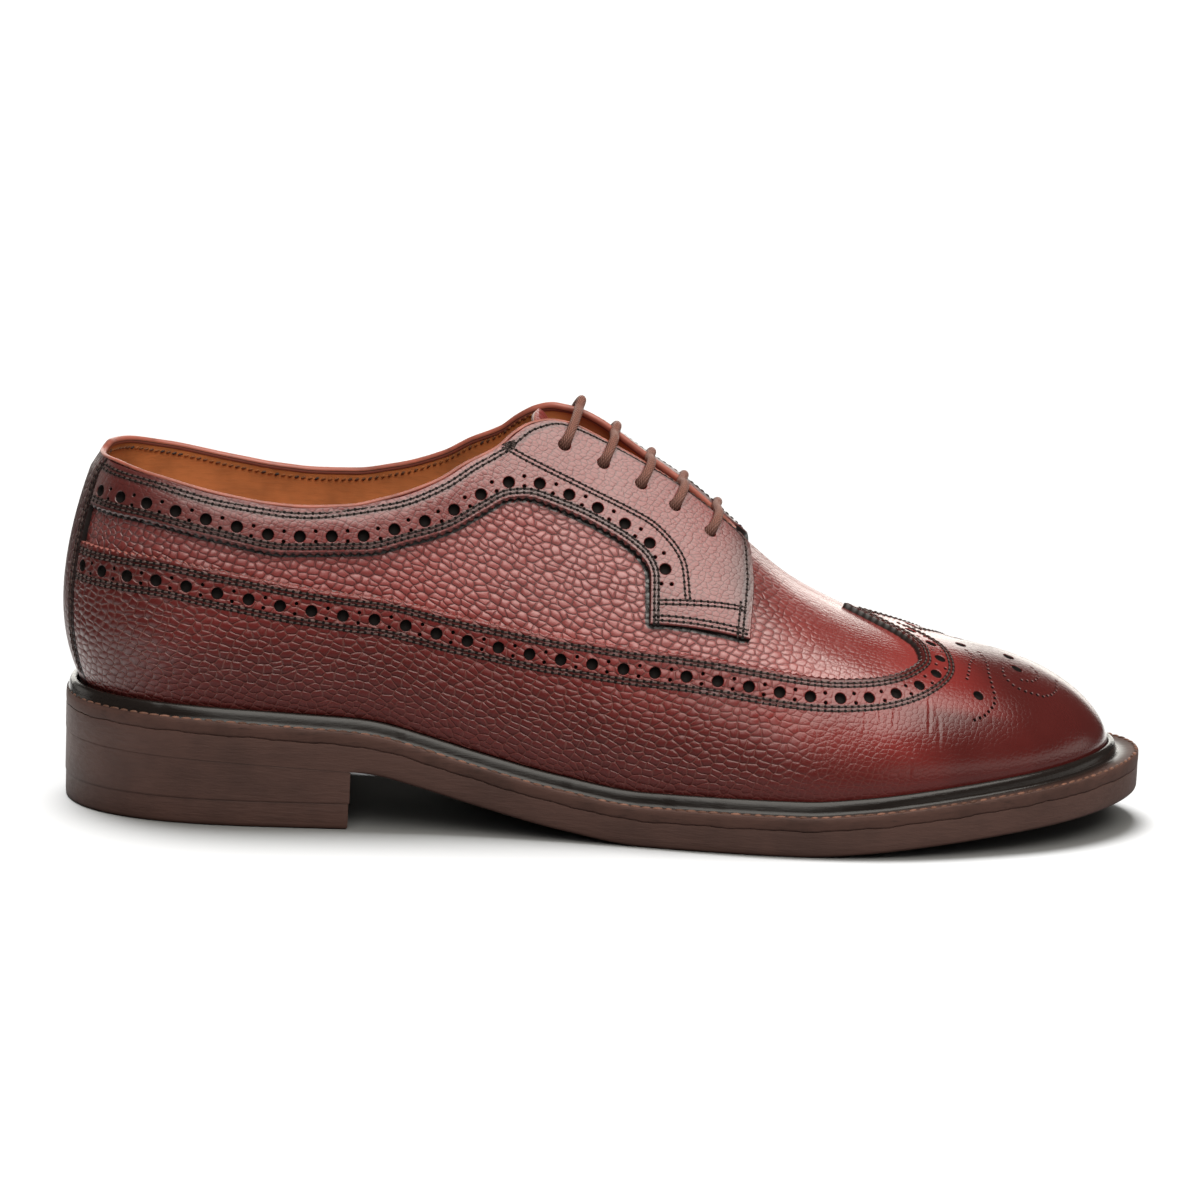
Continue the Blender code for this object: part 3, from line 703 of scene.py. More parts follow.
def triangulate(name, places, edges, owner, loop):
    """Triangles over places inside a loop; those with all corners on one hole are left out."""
    made = delaunay_2d_cdt([Vector(p) for p in places * FLAT], edges, [], 0, 1e-7)
    source = np.array([group[0] if group else -1 for group in made[3]])
    if (source < 0).any():
        raise RuntimeError("outline of %s crosses itself or a hole" % name)
    triangles = source[np.array(made[2])]
    same = owner[triangles]
    in_hole = (same[:, 0] >= 0) & (same[:, 0] == same[:, 1]) & (same[:, 0] == same[:, 2])
    triangles = triangles[~in_hole]
    return triangles[inside((places * FLAT)[triangles].mean(1), loop * FLAT)]


def top_normals(places, level):
    """Shading normals of a cut piece, flatter than the last above a level where one is given."""
    station, rise = places[:, 0], places[:, 1]
    if level is not None:
        high = np.minimum(rise, 2 - rise)
        high = np.where(high > level, level + 0.3 * (high - level), high)
        rise = np.where(rise > 1, 2 - high, high)
        station = np.minimum(station, 6.7 + 0.3 * np.maximum(station - 6.7, 0))
    return covered_normal(station, rise)


def cut_piece(name, edge, holes, spacing, seams, rims=(), fine=None, inked=0.0, level=None):
    """Piece of leather cut along a closed outline on the upper and punched with holes.

    edge has the outline's stations, rises, how far each point stands out as a tooth, and whether it
    is joined to the other side there; holes are rows of (station, rise, radius, corners). Distances
    from the lines in seams and rims are kept for the finish. inked darkens the edge ahead of the
    joint, and above the rise called level the piece is shaded flatter than the last.
    """
    loop = np.stack(edge[:2], -1) * FLAT
    turn = np.roll(loop, -1, 0)
    if (loop[:, 0] * turn[:, 1] - loop[:, 1] * turn[:, 0]).sum() < 0:
        edge = [values[::-1] for values in edge]
    station, rise, tooth, sewn = edge
    points = raised(station, rise, LAID)
    run = unit(np.roll(points, -1, 0) - points) + unit(points - np.roll(points, 1, 0))
    heading = np.cross(skin_normal(station, rise), unit(run))

    def moved(distance):
        places = walk(station, rise, heading, distance * np.where(sewn, 0.0, 1.0))
        return [np.where(sewn, old, new) for old, new in zip((station, rise), places)]

    rim = moved(-tooth)
    count = len(station)
    inset = np.stack(moved(CUT_BEVEL), -1)
    fixed = [inset]
    edges = [(k, (k + 1) % count) for k in range(count)]
    owner = [np.full(count, -1)]
    start = count
    rings = []
    holes = [hole for hole in holes
             if np.linalg.norm(points - raised(hole[0], hole[1], LAID), axis=1).min() > hole[2] + 0.9]
    for number, hole in enumerate(holes):
        corners = hole[3]
        wide, tight = hole_rings(*hole)
        rings.append((start, corners, tight))
        fixed.append(np.stack(wide, -1))
        owner.append(np.full(corners, number))
        edges += [(start + k, start + (k + 1) % corners) for k in range(corners)]
        start += corners
    fixed = np.concatenate(fixed)
    fill = fill_places(station, rise, inset, fixed, holes, spacing, fine)
    places = np.concatenate([fixed, fill])
    owner = np.concatenate(owner + [np.full(len(fill), -2)])
    faces = triangulate(name, places, edges, owner, inset).tolist()
    parts = [TOP] * len(faces)
    all_points = [covered(places[:, 0], places[:, 1]), covered(*rim, 0.32), raised(*rim, -0.25)]
    all_places = [places, np.stack(rim, -1), np.stack(rim, -1)]
    base = len(places)
    for k in range(count):
        t = (k + 1) % count
        if sewn[k] and sewn[t]:
            continue
        faces.append([k, base + k, base + t, t])
        faces.append([base + k, base + count + k, base + count + t, base + t])
        parts += [BEVEL, EDGE]
    base += 2 * count
    for first, corners, place in rings:
        all_points += [covered(*place, 0.22), covered(*place, 1.25)]
        all_places += [np.stack(place, -1)] * 2
        for k in range(corners):
            t = (k + 1) % corners
            faces.append([first + t, base + t, base + k, first + k])
            faces.append([base + t, base + corners + t, base + corners + k, base + k])
            parts += [BEVEL, HOLE]
        # The hole's bottom is a dark disc: painted shade, closing the hole above the leather below.
        faces.append([base + corners + k for k in range(corners)])
        parts.append(HOLE)
        base += 2 * corners
    points = np.concatenate(all_points)
    normals = np.zeros(points.shape)
    normals[:len(places)] = top_normals(places, level)
    spread = np.concatenate(all_places)
    station, rise = spread[:, 0], spread[:, 1]
    seam = line_distance(spread, seams)
    ink = inked * smooth(7.4, 8.6, station) * (1 - smooth(0.6, 1.1, seam))
    marks = {"grain": grain_strength(station, rise), "wax": crease_wax_and_sheen(station, rise),
             "burnish": np.maximum(burnish(station, rise), ink),
             "seam": seam, "rim": line_distance(spread, rims)}
    return add_mesh(name, points, faces, grain_uv(station, rise), marks, normals, parts)


def hole_line(station, rise, pitch, start, end, big, small, limit=None, side=1):
    """Large holes along a line with a pair of small ones across it between neighbours.

    limit is the least rise between a hole and the ridge on its side of the shoe (1 medial).
    """
    places = even(station, rise, 0.25)
    points = raised(*places, LAID)
    length = lengths(points)
    run = unit(np.gradient(points, axis=0))
    across = np.cross(skin_normal(*places), run)
    made = []
    number = 0
    reach = start
    while reach < length[-1] - end:
        k = int(np.searchsorted(length, reach))
        if limit is None or (places[1][k] - 1) * side > limit:
            if number % 2 == 0:
                made.append((places[0][k], places[1][k], big, HOLE_CORNERS))
            else:
                for way in (-1, 1):
                    pair = walk(places[0][k:k + 1], places[1][k:k + 1], across[k:k + 1] * way, PIN_OFFSET, 2)
                    made.append((float(pair[0][0]), float(pair[1][0]), small, PIN_CORNERS))
        number += 1
        reach += pitch / 2
    return made


def repeat_shape(name, shape, faces, places, run, normal, sizes, turn=0.0):
    """Many copies of one small shape as one mesh; each copy has its own points."""
    run = unit(run - (run * normal).sum(-1, keepdims=True) * normal)
    wide = np.cross(normal, run)
    if turn:
        run, wide = run * math.cos(turn) + wide * math.sin(turn), wide * math.cos(turn) - run * math.sin(turn)
    local = shape[None] * sizes[:, None]
    points = places[:, None] + local[..., :1] * run[:, None]
    points = points + local[..., 1:2] * wide[:, None] + local[..., 2:] * normal[:, None]
    count = len(shape)
    all_faces = [[f + k * count for f in face] for k in range(len(places)) for face in faces]
    shade = np.repeat(np.random.default_rng(7).random(len(places)), count)
    return add_mesh(name, points.reshape(-1, 3), all_faces, marks={"shade": shade})


def model_shape(kind):
    """Points and faces of one thread bead or one needle hole, modelled once."""
    clear_selection()
    if kind == "bead":
        bpy.ops.mesh.primitive_uv_sphere_add(
            segments=6, ring_count=5, radius=0.5, rotation=(0, math.pi / 2, 0))
        bpy.ops.object.transform_apply(location=False, rotation=True, scale=False)
    else:
        bpy.ops.mesh.primitive_circle_add(vertices=7, radius=0.5, fill_type="NGON")
    made = bpy.context.object
    points = np.array([v.co[:] for v in made.data.vertices])
    faces = [list(p.vertices) for p in made.data.polygons]
    bpy.data.objects.remove(made, do_unlink=True)
    return points, faces


# Shared effects of the finishes
def new_group(name, inputs, outputs):
    group = bpy.data.node_groups.new(name, "ShaderNodeTree")
    for label, kind, value in inputs:
        socket = group.interface.new_socket(label, in_out="INPUT", socket_type=kind)
        if value is not None:
            socket.default_value = value
    for label, kind in outputs:
        group.interface.new_socket(label, in_out="OUTPUT", socket_type=kind)
    start = group.nodes.new("NodeGroupInput")
    end = group.nodes.new("NodeGroupOutput")
    return group, start, end


def set_inputs(tree, node, values):
    """Sets a node's sockets: numbers and colours as values, other nodes' outputs as links."""
    for key, value in values.items():
        if isinstance(value, tuple):
            node.inputs[key].default_value = (*value, 1.0)
        elif isinstance(value, (int, float)):
            node.inputs[key].default_value = value
        else:
            tree.links.new(value, node.inputs[key])


def math_node(tree, operation, *values, clamp=False):
    node = tree.nodes.new("ShaderNodeMath")
    node.operation = operation
    node.use_clamp = clamp
    set_inputs(tree, node, dict(enumerate(values)))
    return node.outputs[0]


def range_node(tree, value, low, high, to_low=0.0, to_high=1.0, steps="SMOOTHSTEP"):
    node = tree.nodes.new("ShaderNodeMapRange")
    node.interpolation_type = steps
    set_inputs(tree, node, {
        "Value": value, "From Min": low, "From Max": high, "To Min": to_low, "To Max": to_high})
    return node.outputs["Result"]


def mix_colour(tree, factor, first, second):
    node = tree.nodes.new("ShaderNodeMix")
    node.data_type = "RGBA"
    set_inputs(tree, node, {0: factor, 6: first, 7: second})
    return node.outputs[2]


def mix_value(tree, factor, first, second):
    node = tree.nodes.new("ShaderNodeMix")
    node.data_type = "FLOAT"
    set_inputs(tree, node, {0: factor, 2: first, 3: second})
    return node.outputs[0]


def stretched(tree, vector, x, y, z):
    """Vector stretched along each axis."""
    node = tree.nodes.new("ShaderNodeVectorMath")
    node.operation = "MULTIPLY"
    node.inputs[1].default_value = (x, y, z)
    tree.links.new(vector, node.inputs[0])
    return node.outputs[0]


def axes(tree, vector):
    """X, Y and Z of a vector, by name."""
    node = tree.nodes.new("ShaderNodeSeparateXYZ")
    tree.links.new(vector, node.inputs[0])
    return node.outputs


def noise_node(tree, vector, scale, detail=2.0, rough=0.5):
    node = tree.nodes.new("ShaderNodeTexNoise")
    set_inputs(tree, node, {"Vector": vector, "Scale": scale, "Detail": detail, "Roughness": rough})
    return node.outputs


def voronoi_node(tree, vector, scale, feature="DISTANCE_TO_EDGE"):
    node = tree.nodes.new("ShaderNodeTexVoronoi")
    node.feature = feature
    node.voronoi_dimensions = "2D"
    set_inputs(tree, node, {"Vector": vector, "Scale": scale, "Randomness": 0.68})
    return node.outputs["Distance"]


def pillow(tree, place, scale, edge):
    """Rounded cell: a dome about its middle, cut off by the crease round it."""
    far = voronoi_node(tree, place, scale, "F1")
    fall = math_node(tree, "MULTIPLY", math_node(tree, "MULTIPLY", far, far), 1.5)
    dome = math_node(tree, "MULTIPLY", math_node(tree, "SUBTRACT", 1.0, fall), 0.85)
    return math_node(tree, "MULTIPLY_ADD", range_node(tree, edge, 0.0, 0.17), 0.32, dome)


def pebble_group():
    """Pebbled grain: rounded cells parted by creases, bold or fine by the Boldness input."""
    found = bpy.data.node_groups.get("pebble_grain")
    if found:
        return found
    group, start, end = new_group(
        "pebble_grain",
        [("Vector", "NodeSocketVector", None), ("Boldness", "NodeSocketFloat", 1.0),
         ("Body", "NodeSocketVector", None)],
        [("Height", "NodeSocketFloat"), ("Crease", "NodeSocketFloat"), ("Cloud", "NodeSocketFloat")])
    hide, boldness, body = (start.outputs[key] for key in ("Vector", "Boldness", "Body"))
    slant = group.nodes.new("ShaderNodeVectorRotate")
    slant.rotation_type = "Z_AXIS"
    set_inputs(group, slant, {"Vector": stretched(group, hide, 0.86, 1.16, 1.0), "Angle": 0.35})
    shift = group.nodes.new("ShaderNodeVectorMath")
    shift.operation = "MULTIPLY_ADD"
    shift.inputs[1].default_value = (0.016, 0.016, 0.0)
    set_inputs(group, shift, {0: noise_node(group, hide, 22.0)["Color"], 2: slant.outputs[0]})
    place = shift.outputs[0]
    coarse = 46.0
    close = 66.0
    wide = voronoi_node(group, place, coarse)
    tight = voronoi_node(group, place, close)
    weight = range_node(group, boldness, 0.25, 0.75)
    small = math_node(group, "MULTIPLY", pillow(group, place, close, tight), 0.4)
    cells = mix_value(group, weight, small, pillow(group, place, coarse, wide))
    pores = noise_node(group, hide, 260.0, 3.0, 0.6)["Fac"]
    strength = range_node(group, boldness, 0.0, 1.0, 0.05, 1.0, "LINEAR")
    height = math_node(group, "MULTIPLY_ADD", pores, 0.06, math_node(group, "MULTIPLY", cells, strength))
    lines = [range_node(group, tight, 0.0, 0.16, 1.0, 0.0), range_node(group, wide, 0.0, 0.14, 1.0, 0.0)]
    crease = math_node(group, "MULTIPLY", mix_value(group, weight, *lines), strength)
    cloud = noise_node(group, body, 38.0, 4.0, 0.55)["Fac"]
    set_inputs(group, end, {"Height": height, "Crease": crease, "Cloud": cloud})
    return group


def scuff_group():
    """Handling marks: fine scratches and dull clouds."""
    found = bpy.data.node_groups.get("handling_wear")
    if found:
        return found
    group, start, end = new_group(
        "handling_wear", [("Vector", "NodeSocketVector", None), ("Scale", "NodeSocketFloat", 60.0)],
        [("Wear", "NodeSocketFloat"), ("Fine", "NodeSocketFloat")])
    spot = start.outputs["Vector"]
    broad = noise_node(group, spot, start.outputs["Scale"], 3.0, 0.6)["Fac"]
    streak = noise_node(group, stretched(group, spot, 0.35, 1.0, 2.4), 420.0, 3.0, 0.65)["Fac"]
    set_inputs(group, end, {"Wear": range_node(group, broad, 0.38, 0.72), "Fine": streak})
    return group


def place_group(tree, group, **inputs):
    node = tree.nodes.new("ShaderNodeGroup")
    node.node_tree = group
    set_inputs(tree, node, inputs)
    return node.outputs


def new_material(name, colour):
    made = bpy.data.materials.new(name)
    made.use_nodes = True
    made.diffuse_color = (*colour, 1.0)
    tree = made.node_tree
    return made, tree, tree.nodes["Principled BSDF"]


def attribute_value(tree, name):
    node = tree.nodes.new("ShaderNodeAttribute")
    node.attribute_name = name
    return node.outputs["Fac"]


def hide_place(tree):
    node = tree.nodes.new("ShaderNodeUVMap")
    node.uv_map = "hide"
    return node.outputs["UV"]


def object_place(tree):
    return tree.nodes.new("ShaderNodeTexCoord").outputs["Object"]


def bump_normal(tree, height, strength, depth):
    bump = tree.nodes.new("ShaderNodeBump")
    set_inputs(tree, bump, {"Strength": strength, "Distance": depth, "Height": height})
    return bump.outputs["Normal"]


def band_mask(tree, distance, middle, half, soft):
    """1 inside a band of distances, fading out over a soft width."""
    off = math_node(tree, "ABSOLUTE", math_node(tree, "SUBTRACT", distance, middle))
    return range_node(tree, off, half, half + soft, 1.0, 0.0)


def grained_leather(name, body, light, rough, depth, coat, crease_tone, bands=(), rim_bands=(), gloss=0.5):
    """Dyed and polished scotch grain: darker in the creases as painted shade (lighter low on the sides: wax,
    and a painted sheen), along seams (on the quarters a painted shadow under the overlays) and where burnish
    and painted shade are marked.

    bands and rim_bands are rows of (middle, half width, fade, strength) in mm from the cut edges.
    """
    found = bpy.data.materials.get(name)
    if found:
        return found
    made, tree, shader = new_material(name, body)
    dark = colour("oxblood_dark")
    spot = object_place(tree)
    boldness = attribute_value(tree, "grain")
    grain = place_group(tree, pebble_group(), Vector=hide_place(tree), Boldness=boldness, Body=spot)
    wear = place_group(tree, scuff_group(), Vector=spot, Scale=75.0)
    tone = mix_colour(tree, range_node(tree, grain["Cloud"], 0.32, 0.70), body, light)
    # Darker where the burnish mark is: burnish, and painted shade low on the sides and on the vamp.
    tone = mix_colour(tree, math_node(tree, "MULTIPLY", attribute_value(tree, "burnish"), 0.85), tone, dark)
    # Crease colour: dark as painted shade, lighter where the crease wax mark is (polish, and a painted sheen
    # on the crease walls).
    deep = tuple(0.27 * b + 0.8 * d for b, d in zip(body, dark))
    crease = mix_colour(tree, attribute_value(tree, "wax"), deep, colour("wax"))
    creased = math_node(tree, "MULTIPLY", grain["Crease"], crease_tone, clamp=True)
    tone = mix_colour(tree, creased, tone, crease)
    # Bands darken the leather along cut edges and stitch rows; on the quarters they are a painted shadow
    # under the edges of eyestays and wing.
    inked = tuple(0.45 * c for c in dark)
    for key, rows in (("seam", bands), ("rim", rim_bands)):
        for middle, half, soft, strength in rows:
            mask = band_mask(tree, attribute_value(tree, key), middle, half, soft)
            tone = mix_colour(tree, math_node(tree, "MULTIPLY", mask, strength), tone, inked)
    dull = range_node(tree, boldness, 0.25, 0.85, 0.5 * rough, rough)
    dull = math_node(tree, "MULTIPLY_ADD", wear["Wear"], 0.06, dull)
    dull = math_node(tree, "MULTIPLY_ADD", grain["Crease"], 0.15, dull, clamp=True)
    set_inputs(tree, shader, {
        "Base Color": tone, "Roughness": dull, "Specular IOR Level": gloss, "Coat Weight": coat,
        "Coat Roughness": 0.15, "Normal": bump_normal(tree, grain["Height"], 1.0, depth)})
    return made


def plain_finish(name, body, dark, rough, scale, depth, coat=0.0, gloss=0.5):
    """Evenly finished surface with clouds of wear: edges, linings, rubber."""
    found = bpy.data.materials.get(name)
    if found:
        return found
    made, tree, shader = new_material(name, body)
    wear = place_group(tree, scuff_group(), Vector=object_place(tree), Scale=scale)
    tone = mix_colour(tree, wear["Wear"], body, dark)
    tone = mix_colour(tree, range_node(tree, wear["Fine"], 0.45, 0.75, 0.0, 0.5), tone, dark)
    dull = math_node(tree, "MULTIPLY_ADD", wear["Fine"], 0.22, rough - 0.11, clamp=True)
    set_inputs(tree, shader, {
        "Base Color": tone, "Roughness": dull, "Specular IOR Level": gloss, "Coat Weight": coat,
        "Coat Roughness": 0.15, "Normal": bump_normal(tree, wear["Fine"], 0.6, depth)})
    return made


def thread_finish(name, body, light):
    """Waxed thread whose stitches differ a little in tone, with a twist along them."""
    found = bpy.data.materials.get(name)
    if found:
        return found
    made, tree, shader = new_material(name, body)
    twist = noise_node(tree, object_place(tree), 1900.0)["Fac"]
    set_inputs(tree, shader, {
        "Base Color": mix_colour(tree, attribute_value(tree, "shade"), body, light),
        "Roughness": range_node(tree, twist, 0.3, 0.7, 0.45, 0.65), "Specular IOR Level": 0.15,
        "Normal": bump_normal(tree, twist, 0.6, 0.0002)})
    return made


def lace_finish(name, body, dark):
    """Round waxed lace: two sets of crossing strands drawn along its own UV map."""
    made, tree, shader = new_material(name, body)
    cord = axes(tree, hide_place(tree))
    strands = []
    for sign in (1.0, -1.0):
        lean = math_node(tree, "MULTIPLY", cord["X"], 6.0)
        lean = math_node(tree, "MULTIPLY_ADD", cord["Y"], sign * 9.0, lean)
        wave = math_node(tree, "SINE", math_node(tree, "MULTIPLY", lean, math.pi))
        strands.append(math_node(tree, "ABSOLUTE", wave))
    braid = math_node(tree, "MULTIPLY", *strands)
    fuzz = noise_node(tree, object_place(tree), 1500.0, 3.0, 0.7)["Fac"]
    # Painted shade: darker in the grooves between the strands, where the relief is low.
    tone = mix_colour(tree, range_node(tree, braid, 0.05, 0.55), dark, body)
    tone = mix_colour(tree, range_node(tree, fuzz, 0.4, 0.7, 0.0, 0.45), tone, dark)
    # Painted shadow: darker toward the ends, where the lace goes down into the eyelets.
    tone = mix_colour(tree, math_node(tree, "MULTIPLY", attribute_value(tree, "end"), 0.75), tone, dark)
    relief_height = math_node(tree, "MULTIPLY_ADD", fuzz, 0.3, braid)
    set_inputs(tree, shader, {
        "Base Color": tone, "Roughness": range_node(tree, fuzz, 0.3, 0.7, 0.50, 0.72),
        "Normal": bump_normal(tree, relief_height, 0.8, 0.0003)})
    return made


# Sizes and colours that a user would change
def size_property(name, text, value, least):
    return FloatProperty(name=name, description=text + " in mm", default=value, min=least)


class BrogueSizes(bpy.types.PropertyGroup):
    """Sizes of the brogue work, in millimetres"""
    big_hole: size_property("Large hole", "Radius of the large punched holes", 1.6, 0.5)
    small_hole: size_property("Small hole", "Radius of the pin holes", 0.5, 0.2)
    hole_pitch: size_property("Hole pitch", "Distance between large holes", 8.5, 5.0)
    hole_line: size_property("Hole line", "Distance of the wing's holes from its edge", 5.7, 2.0)
    facing_line: size_property("Facing hole line", "Distance of the facing's holes from its edge", 4.4, 2.0)
    tooth_pitch: size_property("Tooth pitch", "Distance between teeth of the gimped edge", 2.2, 1.0)
    tooth: size_property("Tooth", "Height of the teeth of the gimped edge", 0.6, 0.0)
    stitch: size_property("Stitch", "Length from stitch to stitch", 1.9, 1.0)
    welt_stitch: size_property("Welt stitch", "Length from stitch to stitch on the welt", 3.0, 1.5)
    lace: size_property("Lace", "Diameter of the round lace", 2.6, 1.0)


def colour_property(name, text, value):
    return FloatVectorProperty(
        name=name, description=text, default=value, size=3, subtype="COLOR", min=0.0, max=1.0)


class BrogueColours(bpy.types.PropertyGroup):
    """Colours of the leathers, threads and sole"""
    oxblood: colour_property("Oxblood", "Body of the quarters and vamp", (0.225, 0.030, 0.0265))
    oxblood_light: colour_property("Oxblood light", "Lighter clouds of the dye", (0.265, 0.038, 0.033))
    # This dark is also the colour of painted shade: in creases, in the burnish mark and in the quarters' seam
    # bands.
    oxblood_dark: colour_property("Oxblood dark", "Burnish and creases", (0.020, 0.006, 0.0055))
    # Lighter crease colour low on the wing: polish left in the creases, and a painted sheen on their walls.
    wax: colour_property("Wax", "Polish left in the creases low on the wing", (0.150, 0.055, 0.045))
    wing: colour_property("Wing", "Body of the long wing", (0.155, 0.0185, 0.0165))
    wing_light: colour_property("Wing light", "Lighter clouds of the wing", (0.185, 0.0235, 0.021))
    edge: colour_property("Cut edge", "Inked cut edges", (0.014, 0.009, 0.008))
    gimp: colour_property("Gimped edge", "Teeth of the wing's edge", (0.260, 0.085, 0.070))
    lining: colour_property("Lining", "Tan lining leather", (0.540, 0.185, 0.060))
    binding: colour_property("Binding", "Folded edge of collar and facings", (0.330, 0.092, 0.062))
    thread: colour_property("Thread", "Waxed stitching", (0.075, 0.052, 0.047))
    welt: colour_property("Welt", "Storm welt", (0.012, 0.009, 0.008))
    welt_thread: colour_property("Welt thread", "Stitching of the welt", (0.190, 0.092, 0.064))
    sole: colour_property("Sole", "Edges of sole and heel", (0.070, 0.034, 0.027))
    lace: colour_property("Lace", "Round waxed lace", (0.275, 0.108, 0.076))


def sizes():
    return bpy.context.scene.brogue_sizes


def colour(name):
    return tuple(getattr(bpy.context.scene.brogue_colours, name))


def shade(name, factor):
    return tuple(min(channel * factor, 1.0) for channel in colour(name))


def quarter_look():
    # The seam and rim bands of the quarters are a painted shadow under the edges of eyestays and wing.
    return grained_leather("oxblood_grain", colour("oxblood"), colour("oxblood_light"), 0.42, 0.00058, 0.20,
                           0.72, [(0.0, 0.95, 0.3, 1.0)], [(0.0, 0.3, 0.7, 0.7)], 0.9)


def facing_look():
    return grained_leather("facing_grain", shade("oxblood", 0.76), shade("oxblood_light", 0.76), 0.59,
                           0.00044, 0.15, 1.9, [(0.0, 0.15, 0.4, 0.8), (1.8, 0.7, 0.5, 0.6)],
                           [(2.4, 0.8, 0.7, 0.4)], 0.72)


def wing_look():
    return grained_leather("wing_grain", colour("wing"), colour("wing_light"), 0.29, 0.00046, 0.16, 0.66,
                           [(1.85, 0.75, 0.5, 0.5), (8.8, 0.75, 0.5, 0.5)], gloss=0.34)


def strip_look():
    return grained_leather("heel_strip_grain", shade("wing", 0.6), shade("wing_light", 0.6), 0.42, 0.00022,
                           0.05, 0.4, [(0.0, 0.9, 0.4, 0.9)], gloss=0.25)


def gimp_look():
    """Cut teeth of the wing: pale behind, inked dark ahead of the facing."""
    made, tree, shader = new_material("gimped_edge", colour("gimp"))
    ahead = range_node(tree, axes(tree, object_place(tree))["X"], 0.0, 0.06)
    tone = mix_colour(tree, ahead, colour("gimp"), colour("edge"))
    set_inputs(tree, shader, {"Base Color": tone, "Roughness": 0.5})
    return made


def edge_look():
    return plain_finish("inked_edge", colour("edge"), shade("edge", 0.5), 0.6, 200.0, 0.0001, gloss=0.2)


# Near-black walls and bottoms of punched holes, and needle holes: painted shade inside the holes.
def hole_shade_look():
    dark = shade("edge", 0.3)
    return plain_finish("punched_hole", shade("edge", 0.5), dark, 0.8, 200.0, 0.0001, gloss=0.15)


def lining_look():
    return plain_finish("tan_lining", colour("lining"), shade("lining", 0.62), 0.52, 55.0, 0.00012)


def binding_look():
    return plain_finish("collar_binding", colour("binding"), shade("binding", 0.55), 0.45, 120.0, 0.0001, 0.1)


def sole_look():
    return plain_finish("sole_edge", colour("sole"), shade("sole", 0.72), 0.55, 45.0, 0.00022, gloss=0.3)


def thread_look(dark=False):
    if dark:
        return thread_finish("facing_thread", shade("thread", 0.45), shade("thread", 1.1))
    return thread_finish("waxed_thread", shade("thread", 0.75), shade("thread", 1.4))


def gimp(station, rise, high, pitch, until=None):
    """Outward teeth along a line, as heights at its places."""
    length = lengths(raised(station, rise, LAID))
    teeth = high * np.abs(np.mod(length / pitch, 1.0) - 0.5) * 2
    return teeth if until is None else teeth * (length < until)


def wing_edge(medial, spacing=0.55):
    return table_line(WING, medial, 0.0, spacing)


def eyestay_edge(medial, spacing=0.55):
    return table_line(EYESTAY, medial, MEDIAL_RISE, spacing, "low_station", "low_rise")


def facing_edge(medial):
    return table_line(EYESTAY, medial, medial_rise, 0.8, "top_station", "top_rise")


def collar_line(front, drop, spacing):
    """Collar from a station of the lateral side round the heel to the same one of the medial side."""
    lateral = even(front, topline(front) - drop, spacing)
    back = front[::-1]
    medial = even(back, 2 - topline(back) - medial_rise(back) + drop, spacing)
    return lateral, medial


def stations_round(count):
    return np.linspace(0, TURN, count, endpoint=False)


